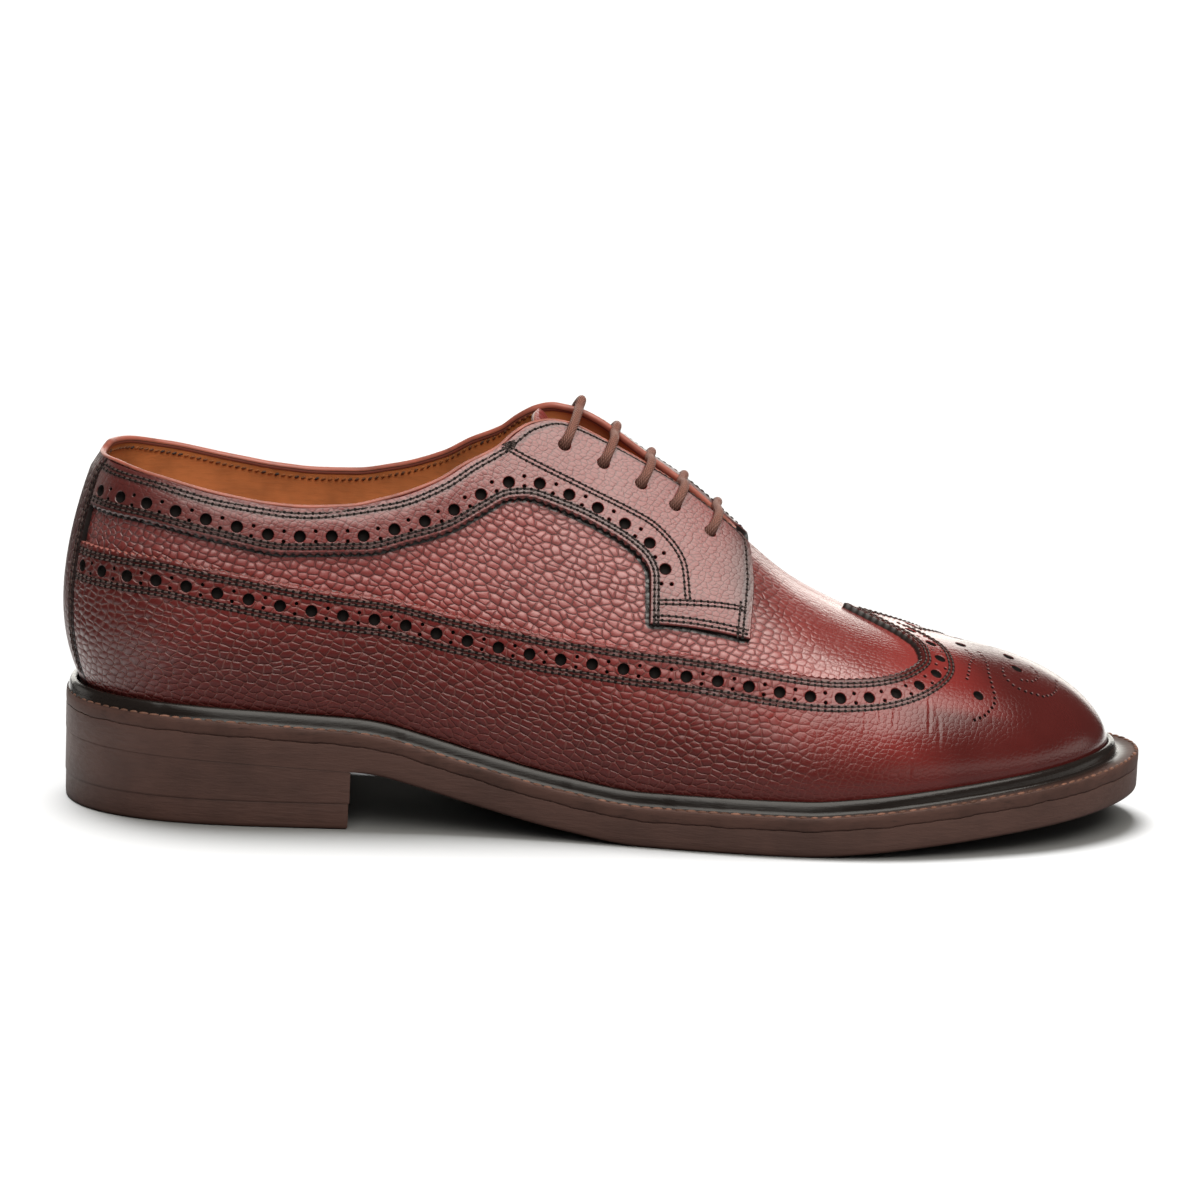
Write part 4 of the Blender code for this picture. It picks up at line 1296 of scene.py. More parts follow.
# Operators, one for each piece or group of like pieces
class BROGUE_OT_upper(bpy.types.Operator):
    """Vamp and quarters, lining inside and the folded binding of collar and facings"""
    bl_idname = "brogue.upper"
    bl_label = "Upper and lining"

    def execute(self, context):
        around = stations_round(480)
        station = np.where(around > TOE, TURN - around, around)
        medial = around > TOE
        top = topline(station) + np.where(medial, medial_rise(station), 0.0)
        reach = np.where(station >= THROAT, 1.0, np.minimum(top, 1.0))
        rows = np.linspace(0, 1, 56)
        rise = reach[:, None] * rows[None]
        rise = np.where(medial[:, None], 2 - rise, rise)
        spread = np.broadcast_to(station[:, None], rise.shape)
        loop = np.append(np.arange(len(around)), 0)
        spread, rise = spread[loop], rise[loop]
        flat = np.stack([spread.ravel(), rise.ravel()], -1)
        lines = [eyestay_edge(False), eyestay_edge(True)]
        ends = [straight((low[0][-1], low[1][-1]), (7.46, top), 40)
                for low, top in zip(lines, (0.45, 1.55 - MEDIAL_RISE))]
        # Distances to the eyestays' and wing's edges, where the quarters get a painted shadow.
        marks = {
            "grain": grain_strength(spread, rise), "burnish": burnish(spread, rise) * 0.6,
            "wax": np.zeros(rise.shape), "seam": line_distance(flat, lines + ends),
            "rim": line_distance(flat, [wing_edge(False), wing_edge(True)]),
        }
        outer = raised(spread, rise, relief(spread, rise))
        upper = add_sheet("vamp_and_quarters", outer, True, grain_uv(spread, rise), marks)
        dress(upper, [quarter_look()], "oxblood_leather", "upper")
        inner = raised(spread[::2], rise[::2], -lining_depth(spread[::2], rise[::2]))
        lining = add_sheet("lining", inner[:, 2:], True, flip=True)
        dress(lining, [lining_look()], "tan_leather")
        self.binding()
        return {"FINISHED"}

    def binding(self):
        """Folded strip over the collar and facing edge, from throat to throat round the heel."""
        lateral, medial = collar_line(np.linspace(7.42, 0, 260), 0.0, 0.7)
        station, rise = (np.concatenate([a, b[1:]]) for a, b in zip(lateral, medial))
        run = unit(np.gradient(raised(station, rise, 0.0), axis=0))
        down = np.cross(skin_normal(station, rise), run)
        fold = [
            (0.40, 0.70), (0.10, 0.82), (-0.20, 0.72), (-0.42, 0.36), (-0.50, -0.08), (-0.42, -0.5),
            (-0.10, -0.88), (0.20, -1.02), (0.40, -1.0), (0.50, -1.04), (0.75, -1.12), (1.0, -1.12),
            (1.2, -1.08), (1.3, -0.9),
        ]
        grid = np.stack([raised(*walk(station, rise, down, low, 3), lift) for low, lift in fold], 1)
        turn = np.broadcast_to(np.arange(len(fold)), grid.shape[:2])
        strip = add_sheet("collar_binding", grid, marks={"turn": turn.astype(float)})
        dress(strip, [self.binding_finish()], "oxblood_leather")

    def binding_finish(self):
        """Orange-red folded lip, a dark joint below it and a red band inside."""
        made, tree, shader = new_material("folded_collar", colour("binding"))
        wear = place_group(tree, scuff_group(), Vector=object_place(tree), Scale=120.0)
        turn = attribute_value(tree, "turn")
        lip = mix_colour(tree, wear["Wear"], colour("binding"), shade("binding", 0.6))
        tone = mix_colour(tree, range_node(tree, turn, 7.2, 7.8), lip, shade("binding", 0.55))
        for middle in (8.0, 12.6):
            tone = mix_colour(tree, band_mask(tree, turn, middle, 0.35, 0.5), tone, colour("edge"))
        set_inputs(tree, shader, {
            "Base Color": tone, "Roughness": 0.42, "Normal": bump_normal(tree, wear["Fine"], 0.6, 0.0001)})
        return made


class BROGUE_OT_wing(bpy.types.Operator):
    """Long wing round the shoe with its gimped edge, punched band and toe medallion"""
    bl_idname = "brogue.wing"
    bl_label = "Long wing"

    def execute(self, context):
        size = sizes()
        lateral = wing_edge(False)
        medial = wing_edge(True)
        foot_s = np.linspace(WING[0].station, TOE, 190)
        toe_r = np.linspace(FOOT, 1.0, 30)
        heel_r = np.linspace(FOOT, WING[0].rise, 20)
        teeth = [gimp(*edge, size.tooth, size.tooth_pitch) for edge in (lateral, medial)]
        edge = outline(
            (foot_s[:-1], FOOT, 0.0, False),
            (float(TOE), np.concatenate([toe_r, 2 - toe_r[-2::-1]]), 0.0, True),
            (foot_s[-2::-1], 2 - FOOT, 0.0, False),
            (WING[0].station, 2 - heel_r[1:-1], 0.0, False),
            (*medial, teeth[1], False),
            (lateral[0][-2::-1], lateral[1][-2::-1], teeth[0][-2::-1], False),
            (WING[0].station, heel_r[-2:0:-1], 0.0, False),
        )
        holes = []
        for line, side in ((lateral, -1), (medial, 1)):
            line = beside(*line, size.hole_line, side)
            holes += hole_line(*line, size.hole_pitch, 3.0, 2.0, size.big_hole, size.small_hole, 0.045, side)
        for sign in (1, -1):
            for row in MEDALLION_ROWS:
                line = even(column(row, "station"), column(row, "rise"), 2.05)
                holes += [(s, 1 + sign * (r - 1), 0.46, PIN_CORNERS) for s, r in zip(*line)]
            for spot in MEDALLION_HOLES:
                holes.append((spot.station, 1 + sign * (spot.rise - 1), size.big_hole * 0.95, HOLE_CORNERS))
        fine = (8.4, 0.07), (9.65, 0.5), 0.5
        piece = cut_piece("long_wing", edge, self.sparse(holes), 1.7, [lateral, medial], fine=fine, inked=1.0)
        clear_selection()
        dress(piece, [wing_look(), gimp_look(), hole_shade_look()], "burnished_leather", "wing")
        return {"FINISHED"}

    def sparse(self, holes):
        """Leaves out holes that would run into an earlier one."""
        kept = []
        spots = np.zeros((0, 3))
        radii = np.zeros(0)
        for hole in sorted(holes, key=lambda h: -h[2]):
            point = raised(hole[0], hole[1], LAID)
            if len(kept) and (np.linalg.norm(spots - point, axis=1) < radii + hole[2] + 0.75).any():
                continue
            kept.append(hole)
            spots = np.vstack([spots, point])
            radii = np.append(radii, hole[2])
        return kept


class BROGUE_OT_eyestays(bpy.types.Operator):
    """Facings and collar bands of both sides with eyelets, punched band and sewn tab"""
    bl_idname = "brogue.eyestays"
    bl_label = "Eyestays"

    def execute(self, context):
        size = sizes()
        for name, medial in (("facing_lateral", False), ("facing_medial", True)):
            low = eyestay_edge(medial)
            top = facing_edge(medial)
            starts, ends = ([(line[0][k], line[1][k]) for line in (low, top)] for k in (0, -1))
            front = even(*straight(*ends, 40), 0.8)
            back = even(*straight(*starts[::-1], 20), 0.8)
            edge = outline(
                (*low, gimp(*low, size.tooth, size.tooth_pitch, 167.0), False),
                (front[0][1:-1], front[1][1:-1], 0.0, False),
                (top[0][::-1], top[1][::-1], 0.0, False),
                (back[0][1:-1], back[1][1:-1], 0.0, False),
            )
            line = beside(*low, size.facing_line, -1 if medial else 1)
            holes = hole_line(*line, size.hole_pitch, 3.2, 9.0, size.big_hole, size.small_hole)
            eyelet = 2 - EYELET_RISE - MEDIAL_RISE if medial else EYELET_RISE
            holes += [(spot, eyelet, EYELET_RADIUS, EYELET_CORNERS) for spot in EYELET_STATIONS]
            piece = cut_piece(name, edge, holes, 1.8, [low], [top], level=0.60)
            piece.data.attributes["grain"].data.foreach_set("value", self.grain(piece))
            looks = [facing_look(), edge_look(), hole_shade_look()]
            dress(piece, looks, "oxblood_leather", name.replace("facing", "eyestay"))
        return {"FINISHED"}

    def grain(self, piece):
        """Facings are pressed flatter than the quarters."""
        values = np.zeros(len(piece.data.vertices), np.float32)
        piece.data.attributes["grain"].data.foreach_get("value", values)
        return np.maximum(values * 0.40, 0.34).astype(np.float32)


class BROGUE_OT_back_strip(bpy.types.Operator):
    """Back strip over the heel seam"""
    bl_idname = "brogue.back_strip"
    bl_label = "Back strip"

    def execute(self, context):
        half = np.linspace(-BACK_STRIP, BACK_STRIP, 24)
        top = float(topline(BACK_STRIP))
        up = np.linspace(FOOT, top, 60)
        far_up = np.linspace(FOOT, top + float(medial_rise(BACK_STRIP)), 60)
        back = half[:0:-1]
        crest = top + np.where(back < 0, medial_rise(np.abs(back)), 0.0)
        edge = outline(
            (half[:-1], FOOT, 0.0, False), (BACK_STRIP, up[:-1], 0.0, False),
            (back, crest, 0.0, False), (-BACK_STRIP, far_up[:0:-1], 0.0, False))
        seams = [np.broadcast_arrays(s, r) for s, r in ((BACK_STRIP, up[:-1]), (-BACK_STRIP, far_up[:-1]))]
        piece = cut_piece("heel_strip", edge, [], 1.8, seams)
        dress(piece, [strip_look(), edge_look(), hole_shade_look()], "oxblood_leather", "back_strip")
        return {"FINISHED"}


class BROGUE_OT_tongue(bpy.types.Operator):
    """Tongue under the facings, leather outside and lined inside"""
    bl_idname = "brogue.tongue"
    bl_label = "Tongue"

    def execute(self, context):
        count = column(TONGUE_ROWS, "station")
        half = open_curve(count, column(TONGUE_ROWS, "half"))
        drop = open_curve(count, column(TONGUE_ROWS, "drop"))
        station = np.linspace(count[0], count[-1], 90)[:, None]
        across = np.linspace(-1, 1, 50)[None]
        reach = half(station) * (1 - 0.25 * (1 - smooth(count[0], count[0] + 0.25, station)))
        rise = 1 + across * reach
        below = -WALL - GAP - 0.2
        lateral = raised(station, 1 - reach, below)
        medial = raised(station, 1 + reach, below)
        middle = raised(station, np.ones_like(station), below)
        middle[..., 2] -= drop(station) + 2.6 * (1 - smooth(5.34, 6.0, station))
        chord = (lateral + medial) / 2
        middle[..., 2] = np.maximum(middle[..., 2], chord[..., 2] + 0.8)
        share = across[..., None]
        outer = chord + share * (medial - lateral) / 2 + (1 - share ** 2) * (middle - chord)
        spread = np.broadcast_to(station, rise.shape)
        far = np.full(rise.shape, FAR)
        none = np.zeros(rise.shape)
        marks = {"grain": none + 0.7, "burnish": none, "wax": none, "seam": far, "rim": far}
        sheet = add_sheet("tongue_leather", outer, False, grain_uv(spread, rise), marks)
        dress(sheet, [quarter_look(), lining_look(), binding_look()], "oxblood_leather", "tongue")
        thicken(sheet, TONGUE_WALL, 1, 2)
        return {"FINISHED"}


class BROGUE_OT_insole(bpy.types.Operator):
    """Insole with a leather sock, slightly dished"""
    bl_idname = "brogue.insole"
    bl_label = "Insole"

    def execute(self, context):
        run = np.linspace(0, TOE, 150)
        across = np.linspace(-1, 1, 33)[None]
        inner = np.full(len(run), -WALL - 2 * GAP - 0.2)
        left = plan_ring(run, inner)[:, None]
        right = plan_ring(TURN - run, inner)[:, None]
        plan = left * (1 - across[..., None]) / 2 + right * (1 + across[..., None]) / 2
        height = underside(plan[..., 0]) + OUTSOLE + GAP + WELT + GAP + INSOLE_RISE
        height = height + 0.9 * np.abs(across) ** 4 - 0.5
        sheet = add_sheet("sock_and_insole", with_height(plan, height), True)
        dress(sheet, [lining_look()], "tan_leather", "insole")
        thicken(sheet, INSOLE_BOARD)
        return {"FINISHED"}


# Profiles of the trimmed edges from below to above, in millimetres. The sole has how far out and how
# high, the lifts how far in, the share of their height and a drop, the top piece how far in and how high.
SOLE_PROFILE = [
    (-3.2, 0.0), (-0.9, 0.0), (-0.45, 0.12), (-0.15, 0.4), (0.0, 0.9), (0.02, 2.6), (0.02, 4.6),
    (0.0, 6.6), (-0.04, 6.98), (-0.25, 7.1), (-3.2, 7.1),
]
LIFT_PROFILE = [
    (0.5, 0.0, 0.13), (0.05, 0.0, 0.13), (0.01, 0.0, 0.06), (0.0, 0.04, 0.0), (0.0, 0.5, 0.0),
    (0.0, 0.97, 0.0), (0.01, 1.0, 0.02), (0.03, 1.0, 0.0), (0.5, 1.0, 0.0),
]
TOP_PIECE_PROFILE = [
    (3.0, 0.0), (0.9, 0.0), (0.4, 0.14), (0.12, 0.5), (0.0, 1.2), (0.0, 6.7), (0.01, 7.06),
    (0.05, 7.14), (2.5, 7.14),
]


class BROGUE_OT_sole(bpy.types.Operator):
    """Outsole, stacked heel and its top piece with trimmed edges"""
    bl_idname = "brogue.sole"
    bl_label = "Sole and heel"

    def execute(self, context):
        around = np.append(stations_round(420), 0.0)
        edge = sole_edge(around)
        waver = self.waver(around)
        ahead = smooth(HEEL_BREAST - 1, HEEL_BREAST + 6, feather(around)[:, 0])
        loops = []
        for out, up in SOLE_PROFILE:
            blunt = ahead if -3 < out < 0 and up < 1 else 1.0
            plan = plan_ring(around, edge + out * blunt)
            uneven = waver if 6.3 < up and out > -0.3 else 0
            loops.append(with_height(plan, underside(plan[:, 0]) + up + uneven))
        rim = np.stack(loops, 1)
        body = add_sheet("sole_rubber", rim, True, flip=True)
        below = add_sheet("outsole_tread", self.across(rim[:, 0], 40), True)
        above = add_sheet("outsole_deck", self.across(rim[:, -1], 40), True, flip=True)
        select(body, below, above)
        bpy.ops.object.join()
        bpy.ops.object.mode_set(mode="EDIT")
        bpy.ops.mesh.select_all(action="SELECT")
        bpy.ops.mesh.remove_doubles(threshold=WELD)
        self.trim()
        dress(body, [sole_look()], "sole_rubber", "outsole")
        self.heel()
        return {"FINISHED"}

    @staticmethod
    def waver(around):
        """Unevenness of the trimmed joint between welt and outsole."""
        return 0.20 * np.sin(around * 13.0 + 0.7) * np.sin(around * 4.1) + 0.08 * np.sin(around * 47.0)

    def across(self, loop, count):
        """Cap of a closed line round the shoe as rows across it."""
        half = (len(loop) - 1) // 2
        left = loop[:half + 1][:, None]
        right = loop[::-1][:half + 1][:, None]
        share = np.linspace(0, 1, count)[None, :, None]
        return left * (1 - share) + right * share

    def trim(self):
        """Turns the faces of the piece in hand outward and shades its edges sharp."""
        bpy.ops.mesh.select_all(action="SELECT")
        bpy.ops.mesh.normals_make_consistent(inside=False)
        bpy.ops.object.mode_set(mode="OBJECT")
        bpy.ops.object.shade_smooth_by_angle(angle=TRIM_ANGLE)

    def heel_outline(self, offset, breast):
        """Heel's outline: the sole's edge from breast to breast with eased corners."""
        fine = np.linspace(0, 5, 1001)
        ends = []
        for sign in (-1, 1):
            plan = plan_ring(sign * fine, sole_edge(sign * fine) + offset)
            ends.append(sign * np.interp(breast, plan[:, 0], fine))
        around = np.linspace(*ends, 160)
        arc = plan_ring(around, sole_edge(around) + offset)
        share = np.linspace(0, 1, 42)[1:-1, None]
        front = arc[-1] * (1 - share) + arc[0] * share
        front[:, 0] -= 1.6 * (1 - (2 * share[:, 0] - 1) ** 2)
        return np.concatenate([arc, front])

    def heel(self):
        lifts = []
        base = TOP_PIECE + GAP
        for inset, share, drop in LIFT_PROFILE:
            plan = self.heel_outline(-0.12 - inset, HEEL_BREAST - 0.3 - inset)
            top = underside(plan[:, 0]) - 0.03
            lifts.append(with_height(plan, base + share * (top - base) - drop))
        rubber = []
        for inset, height in TOP_PIECE_PROFILE:
            plan = self.heel_outline(-0.3 - inset, HEEL_BREAST - BREAST_UNDERCUT - inset)
            rubber.append(with_height(plan, np.full(len(plan), height)))
        self.heel_block("heel_lifts", lifts, "heel_leather", "heel_stack")
        self.heel_block("heel_rubber", rubber, "sole_rubber", "heel_top_piece")

    def heel_block(self, name, loops, slot, node):
        """Closed block from loops round the heel."""
        rim = np.stack(loops, 1)
        body = add_sheet(name, np.concatenate([rim, rim[:1]]), True, flip=True)
        select(body)
        bpy.ops.object.mode_set(mode="EDIT")
        bpy.ops.mesh.select_all(action="DESELECT")
        bpy.ops.mesh.select_non_manifold(
            extend=False, use_wire=False, use_multi_face=False, use_non_contiguous=False, use_verts=False)
        bpy.ops.mesh.edge_face_add()
        self.trim()
        dress(body, [sole_look()], slot, node)


def wall_lean(around, height):
    """How far the wing's outer face stands out from the feather edge at a height above the welt."""
    station = np.where(around > TOE, TURN - around, around)
    lean = np.zeros(len(around))
    base = feather(around)
    normal = outward(around)
    for rise in np.linspace(0.0, 0.3, 61):
        point = raised(station, np.where(around > TOE, 2 - rise, rise), LAID)
        out = ((point[:, :2] - base) * normal).sum(-1)
        low = point[:, 2] < seat(base[:, 0]) + height
        lean = np.where(low, np.maximum(lean, out), lean)
    return lean


class BROGUE_OT_welt(bpy.types.Operator):
    """Storm welt with its rolled rib and the slanting stitches along its edge"""
    bl_idname = "brogue.welt"
    bl_label = "Storm welt"

    def execute(self, context):
        around = np.append(stations_round(460), 0.0)
        edge = sole_edge(around)
        lean = wall_lean(around, RIB_HEIGHT + 1.0) + 0.05
        bottom = OUTSOLE + GAP
        top = bottom + WELT
        inner = -WALL - GAP
        foot = lean + RIB_WIDTH
        ledge = edge - foot
        rib = RIB_HEIGHT
        waver = bottom + BROGUE_OT_sole.waver(around)
        profile = [
            (inner, top), (lean - 0.4, top), (lean - 0.1, top + rib * 0.55), (lean + 0.15, top + rib * 0.86),
            (lean + 0.55, top + rib * 0.98), (lean + 1.0, top + rib), (lean + 1.5, top + rib * 0.94),
            (lean + 1.95, top + rib * 0.76), (lean + 2.25, top + rib * 0.5), (lean + 2.4, top + rib * 0.22),
            (foot, top - 0.05), (foot + ledge * 0.18, top - 0.32), (foot + ledge * 0.5, top - 0.18),
            (edge - ledge * 0.22, top - 0.02), (edge - 0.22, top - 0.1), (edge - 0.02, top - 0.42),
            (edge + 0.05, top - 1.5), (edge + 0.05, waver + 1.2), (edge + 0.02, waver + 0.35),
            (edge - 0.04, waver - 0.02), (edge - 0.25, waver - 0.15), (inner, bottom), (inner, top),
        ]
        loops = []
        for out, up in profile:
            plan = plan_ring(around, np.broadcast_to(out, around.shape))
            loops.append(with_height(plan, underside(plan[:, 0]) + up))
        section = np.stack(loops, 1)
        rib_mark = np.zeros(section.shape[:2])
        rib_mark[:, 2:11] = 1.0
        rib_mark[:, 11:13] = (0.8, 0.3)
        body = add_sheet("welt_and_rib", section, True, marks={"rib": rib_mark})
        dress(body, [self.finish()], "welt_leather", "storm_welt")
        self.stitches(around[:-1], (edge - 0.75)[:-1], top - 0.1)
        return {"FINISHED"}

    def finish(self):
        """Glossy dark rib, dull brown ledge and edge."""
        made, tree, shader = new_material("storm_welt", colour("welt"))
        wear = place_group(tree, scuff_group(), Vector=object_place(tree), Scale=90.0)
        rib = attribute_value(tree, "rib")
        ledge = mix_colour(tree, wear["Wear"], colour("sole"), shade("sole", 0.7))
        tone = mix_colour(tree, rib, ledge, colour("welt"))
        scratch = range_node(tree, wear["Fine"], 0.5, 0.8, 0.0, 0.5)
        set_inputs(tree, shader, {
            "Base Color": mix_colour(tree, scratch, tone, shade("welt", 0.5)),
            "Roughness": range_node(tree, rib, 0.0, 1.0, 0.62, 0.24), "Specular IOR Level": 0.2,
            "Coat Weight": math_node(tree, "MULTIPLY", rib, 0.12), "Coat Roughness": 0.10,
            "Normal": bump_normal(tree, wear["Fine"], 0.5, 0.0002)})
        return made

    def stitches(self, around, out, top):
        plan = plan_ring(np.append(around, around[0]), np.append(out, out[0]))
        path = with_height(plan, underside(plan[:, 0]) + top + 0.02)
        length = lengths(path)
        count = int(length[-1] / sizes().welt_stitch)
        place = np.arange(count) * length[-1] / count
        spots = np.stack([np.interp(place, length, path[:, k]) for k in range(3)], -1)
        run = unit(np.roll(spots, -1, 0) - np.roll(spots, 1, 0))
        side = unit(np.cross(run, np.array([0.0, 0.0, 1.0])))
        normal = np.cross(side, run)
        shape, faces = model_shape("bead")
        wobble = np.random.default_rng(3).random((count, 3))
        body = np.array([2.6, 1.15, 0.85]) * (0.75 + 0.45 * wobble)
        threads = repeat_shape("welt_stitches", shape, faces, spots, run, normal, body, 0.22)
        look = thread_finish("welt_thread", shade("welt_thread", 0.35), colour("welt_thread"))
        dress(threads, [look], "welt_leather")


class BROGUE_OT_lace(bpy.types.Operator):
    """Round lace in straight bars, each end turned down through its eyelet"""
    bl_idname = "brogue.lace"
    bl_label = "Lace"

    def execute(self, context):
        points = []
        faces = []
        uv = []
        ends = []
        for station, middle in zip(EYELET_STATIONS, LACE_MIDDLES):
            self.bar(station, middle, points, faces, uv, ends)
        marks = {"end": np.concatenate(ends)}
        piece = add_mesh("lace", np.concatenate(points), faces, np.concatenate(uv), marks)
        names = ["lace_bar_%d" % k for k in range(1, len(EYELET_STATIONS) + 1)]
        dress(piece, [lace_finish("waxed_lace", colour("lace"), shade("lace", 0.4))], "lace_cotton", *names)
        return {"FINISHED"}

    def bar(self, station, sag, points, faces, uv, ends):
        thick = sizes().lace
        high = LAID + 0.1 + thick / 2
        half = [(0.0, -1.6), (0.0, 0.2), (0.012, 1.7), (0.06, high + 0.1), (0.16, high), (0.25, high - 0.5),
                (0.34, 0.4 * high + 0.6 * sag), (0.42, sag + 0.15), (0.5, sag)]
        knots = []
        for share, lift in half + [(1 - share, lift) for share, lift in half[-2::-1]]:
            rise = EYELET_RISE + share * (2 - 2 * EYELET_RISE - MEDIAL_RISE)
            place = station + LACE_ARCH * (1 - ((rise - 1) / (1 - EYELET_RISE)) ** 2)
            knots.append(raised(place, rise, lift))
        knots = np.array(knots)
        span = lengths(knots)
        fine = np.linspace(0, span[-1], 90)
        middle = np.stack([np.interp(fine, span, knots[:, k]) for k in range(3)], -1)
        for _ in range(12):
            middle[1:-1] = 0.25 * middle[:-2] + 0.5 * middle[1:-1] + 0.25 * middle[2:]
        run = unit(np.gradient(middle, axis=0))
        guide = np.array([1.0, 0.0, 0.3])
        up = unit(guide - (run @ guide)[:, None] * run)
        side = np.cross(run, up)
        sides = 14
        turn = np.arange(sides) * 2 * math.pi / sides
        ring = np.cos(turn)[None, :, None] * up[:, None] + np.sin(turn)[None, :, None] * side[:, None]
        reach = lengths(middle)
        tip = 1 - smooth(2.5, 6.5, np.minimum(reach, reach[-1] - reach))
        body = (middle[:, None] + ring * (thick / 2 * (1 + 0.22 * tip))[:, None, None]).reshape(-1, 3)
        first = sum(len(p) for p in points)
        # The end mark is painted as the eyelet's shadow by the lace's finish.
        ends.append(np.repeat(tip, sides))
        wrap = np.abs(np.arange(sides) / sides * 2 - 1)
        flat = np.stack(np.broadcast_arrays(wrap[None], reach[:, None] / 10.0), -1)
        for u in range(len(middle) - 1):
            near = first + u * sides
            far = near + sides
            for v in range(sides):
                t = (v + 1) % sides
                faces.append([near + v, near + t, far + t, far + v])
        faces.append([first + v for v in range(sides)][::-1])
        faces.append([first + (len(middle) - 1) * sides + v for v in range(sides)])
        points.append(body)
        uv.append(flat.reshape(-1, 2))


class BROGUE_OT_stitching(bpy.types.Operator):
    """Rows of stitches with their needle holes on wing, eyestays, collar, back strip and lining"""
    bl_idname = "brogue.stitching"
    bl_label = "Stitching"

    def execute(self, context):
        self.shape = {kind: model_shape(kind) for kind in ("bead", "needle")}
        rows = []
        for medial in (False, True):
            edge = wing_edge(medial, 0.8)
            side = 1 if medial else -1
            for distance in (1.3, 2.4, 8.2, 9.35):
                line = beside(*edge, distance, side)
                keep = (line[1] > 1.006) if medial else (line[1] < 0.994)
                rows.append((line[0][keep][1:], line[1][keep][1:]))
        self.sew("wing_stitching", rows)
        rows = []
        for medial in (False, True):
            rows += self.eyestay_rows(medial)
        self.sew("eyestay_stitching", rows)
        rows = []
        up = np.linspace(FOOT + 0.03, 0.49, 200)
        for sign in (-1, 1):
            for inset in (0.05, 0.11):
                rows.append((np.full(200, sign * (BACK_STRIP - inset)), up))
        self.sew("back_strip_stitching", rows)
        self.lining_row()
        return {"FINISHED"}

    def eyestay_rows(self, medial):
        """Rows of one side: lower edge, collar, facing edge, facing inner row and tab."""
        side = -1 if medial else 1
        low = eyestay_edge(medial, 0.8)
        top = facing_edge(medial)
        rows = [beside(*low, distance, side) for distance in (1.2, 2.3)]
        behind = top[0] < 5.04
        crown = top[1] > 1 if medial else top[1] < 1
        collar = np.arange(len(top[0])) < np.argmax(~(behind & crown))
        for distance, kept in ((1.6, collar), (2.75, collar), (2.3, ~collar)):
            line = beside(*top, distance, -side)
            rows.append((line[0][kept], line[1][kept]))
        for table, gap in ((FACING_ROW, 1.2), (TAB_ROW, 1.15)):
            line = table_line(table, medial, MEDIAL_RISE, 0.8)
            rows += [line, beside(*line, gap, -side if table is FACING_ROW else side)]
        bottom = straight((low[0][-1], low[1][-1]), (top[0][-1], top[1][-1]), 40)
        for distance in (1.1, 2.4):
            line = beside(*bottom, distance, side)
            rows.append((line[0][2:-2], line[1][2:-2]))
        front = top[0][-14:], top[1][-14:]
        rows.append(beside(*front, 3.7, -side))
        tack_s = np.full(6, 5.04) + np.linspace(-0.045, 0.045, 6)
        for k in range(4):
            rise = 0.640 + 0.006 * k + np.linspace(0, 0.018, 6)
            rows.append((tack_s, 2 - rise - MEDIAL_RISE if medial else rise))
        return rows

    def sew(self, name, rows):
        """Thread beads along rows with a dark disc between each pair, painted shade for the needle hole."""
        pitch = sizes().stitch
        laid = {"bead": [], "needle": []}
        for station, rise in rows:
            place = even(station, rise, pitch / 2)
            if len(place[0]) < 3:
                continue
            points = covered(*place)
            run = unit(np.gradient(points, axis=0))
            normal = covered_normal(*place)
            for kind, first, lift in (("bead", 1, 0.10), ("needle", 0, 0.05)):
                spots = points[first::2] + normal[first::2] * lift
                laid[kind].append((spots, run[first::2], normal[first::2]))
        thread = thread_look(not name.startswith("wing"))
        needle_holes = name.replace("stitching", "needle_holes")
        for kind, title, look, size, turn in (
                ("bead", name, thread, (pitch * 0.70, 0.55, 0.50), 0.12),
                # Needle holes are flat dark discs: painted shade.
                ("needle", needle_holes, hole_shade_look(), (1.0, 0.92, 1.0), 0.0)):
            spots, runs, normals = (np.concatenate(values) for values in zip(*laid[kind]))
            body = np.broadcast_to(np.array(size), spots.shape)
            made = repeat_shape(title, *self.shape[kind], spots, runs, normals, body, turn)
            dress(made, [look], "oxblood_leather")

    def lining_row(self):
        """Dark stitches below the binding, on the inside of the collar."""
        lines = collar_line(np.linspace(5.3, 0, 240), 0.021, sizes().stitch)
        station, rise = (np.concatenate(values) for values in zip(*lines))
        points = raised(station, rise, -lining_depth(station, rise) - 0.2)
        run = unit(np.gradient(points, axis=0))
        body = np.broadcast_to(np.array([1.5, 0.75, 0.6]), points.shape)
        inward = -skin_normal(station, rise)
        threads = repeat_shape("lining_stitching", *self.shape["bead"], points, run, inward, body, 0.5)
        look = thread_finish("lining_thread", shade("thread", 0.5), shade("lining", 0.5))
        dress(threads, [look], "tan_leather")


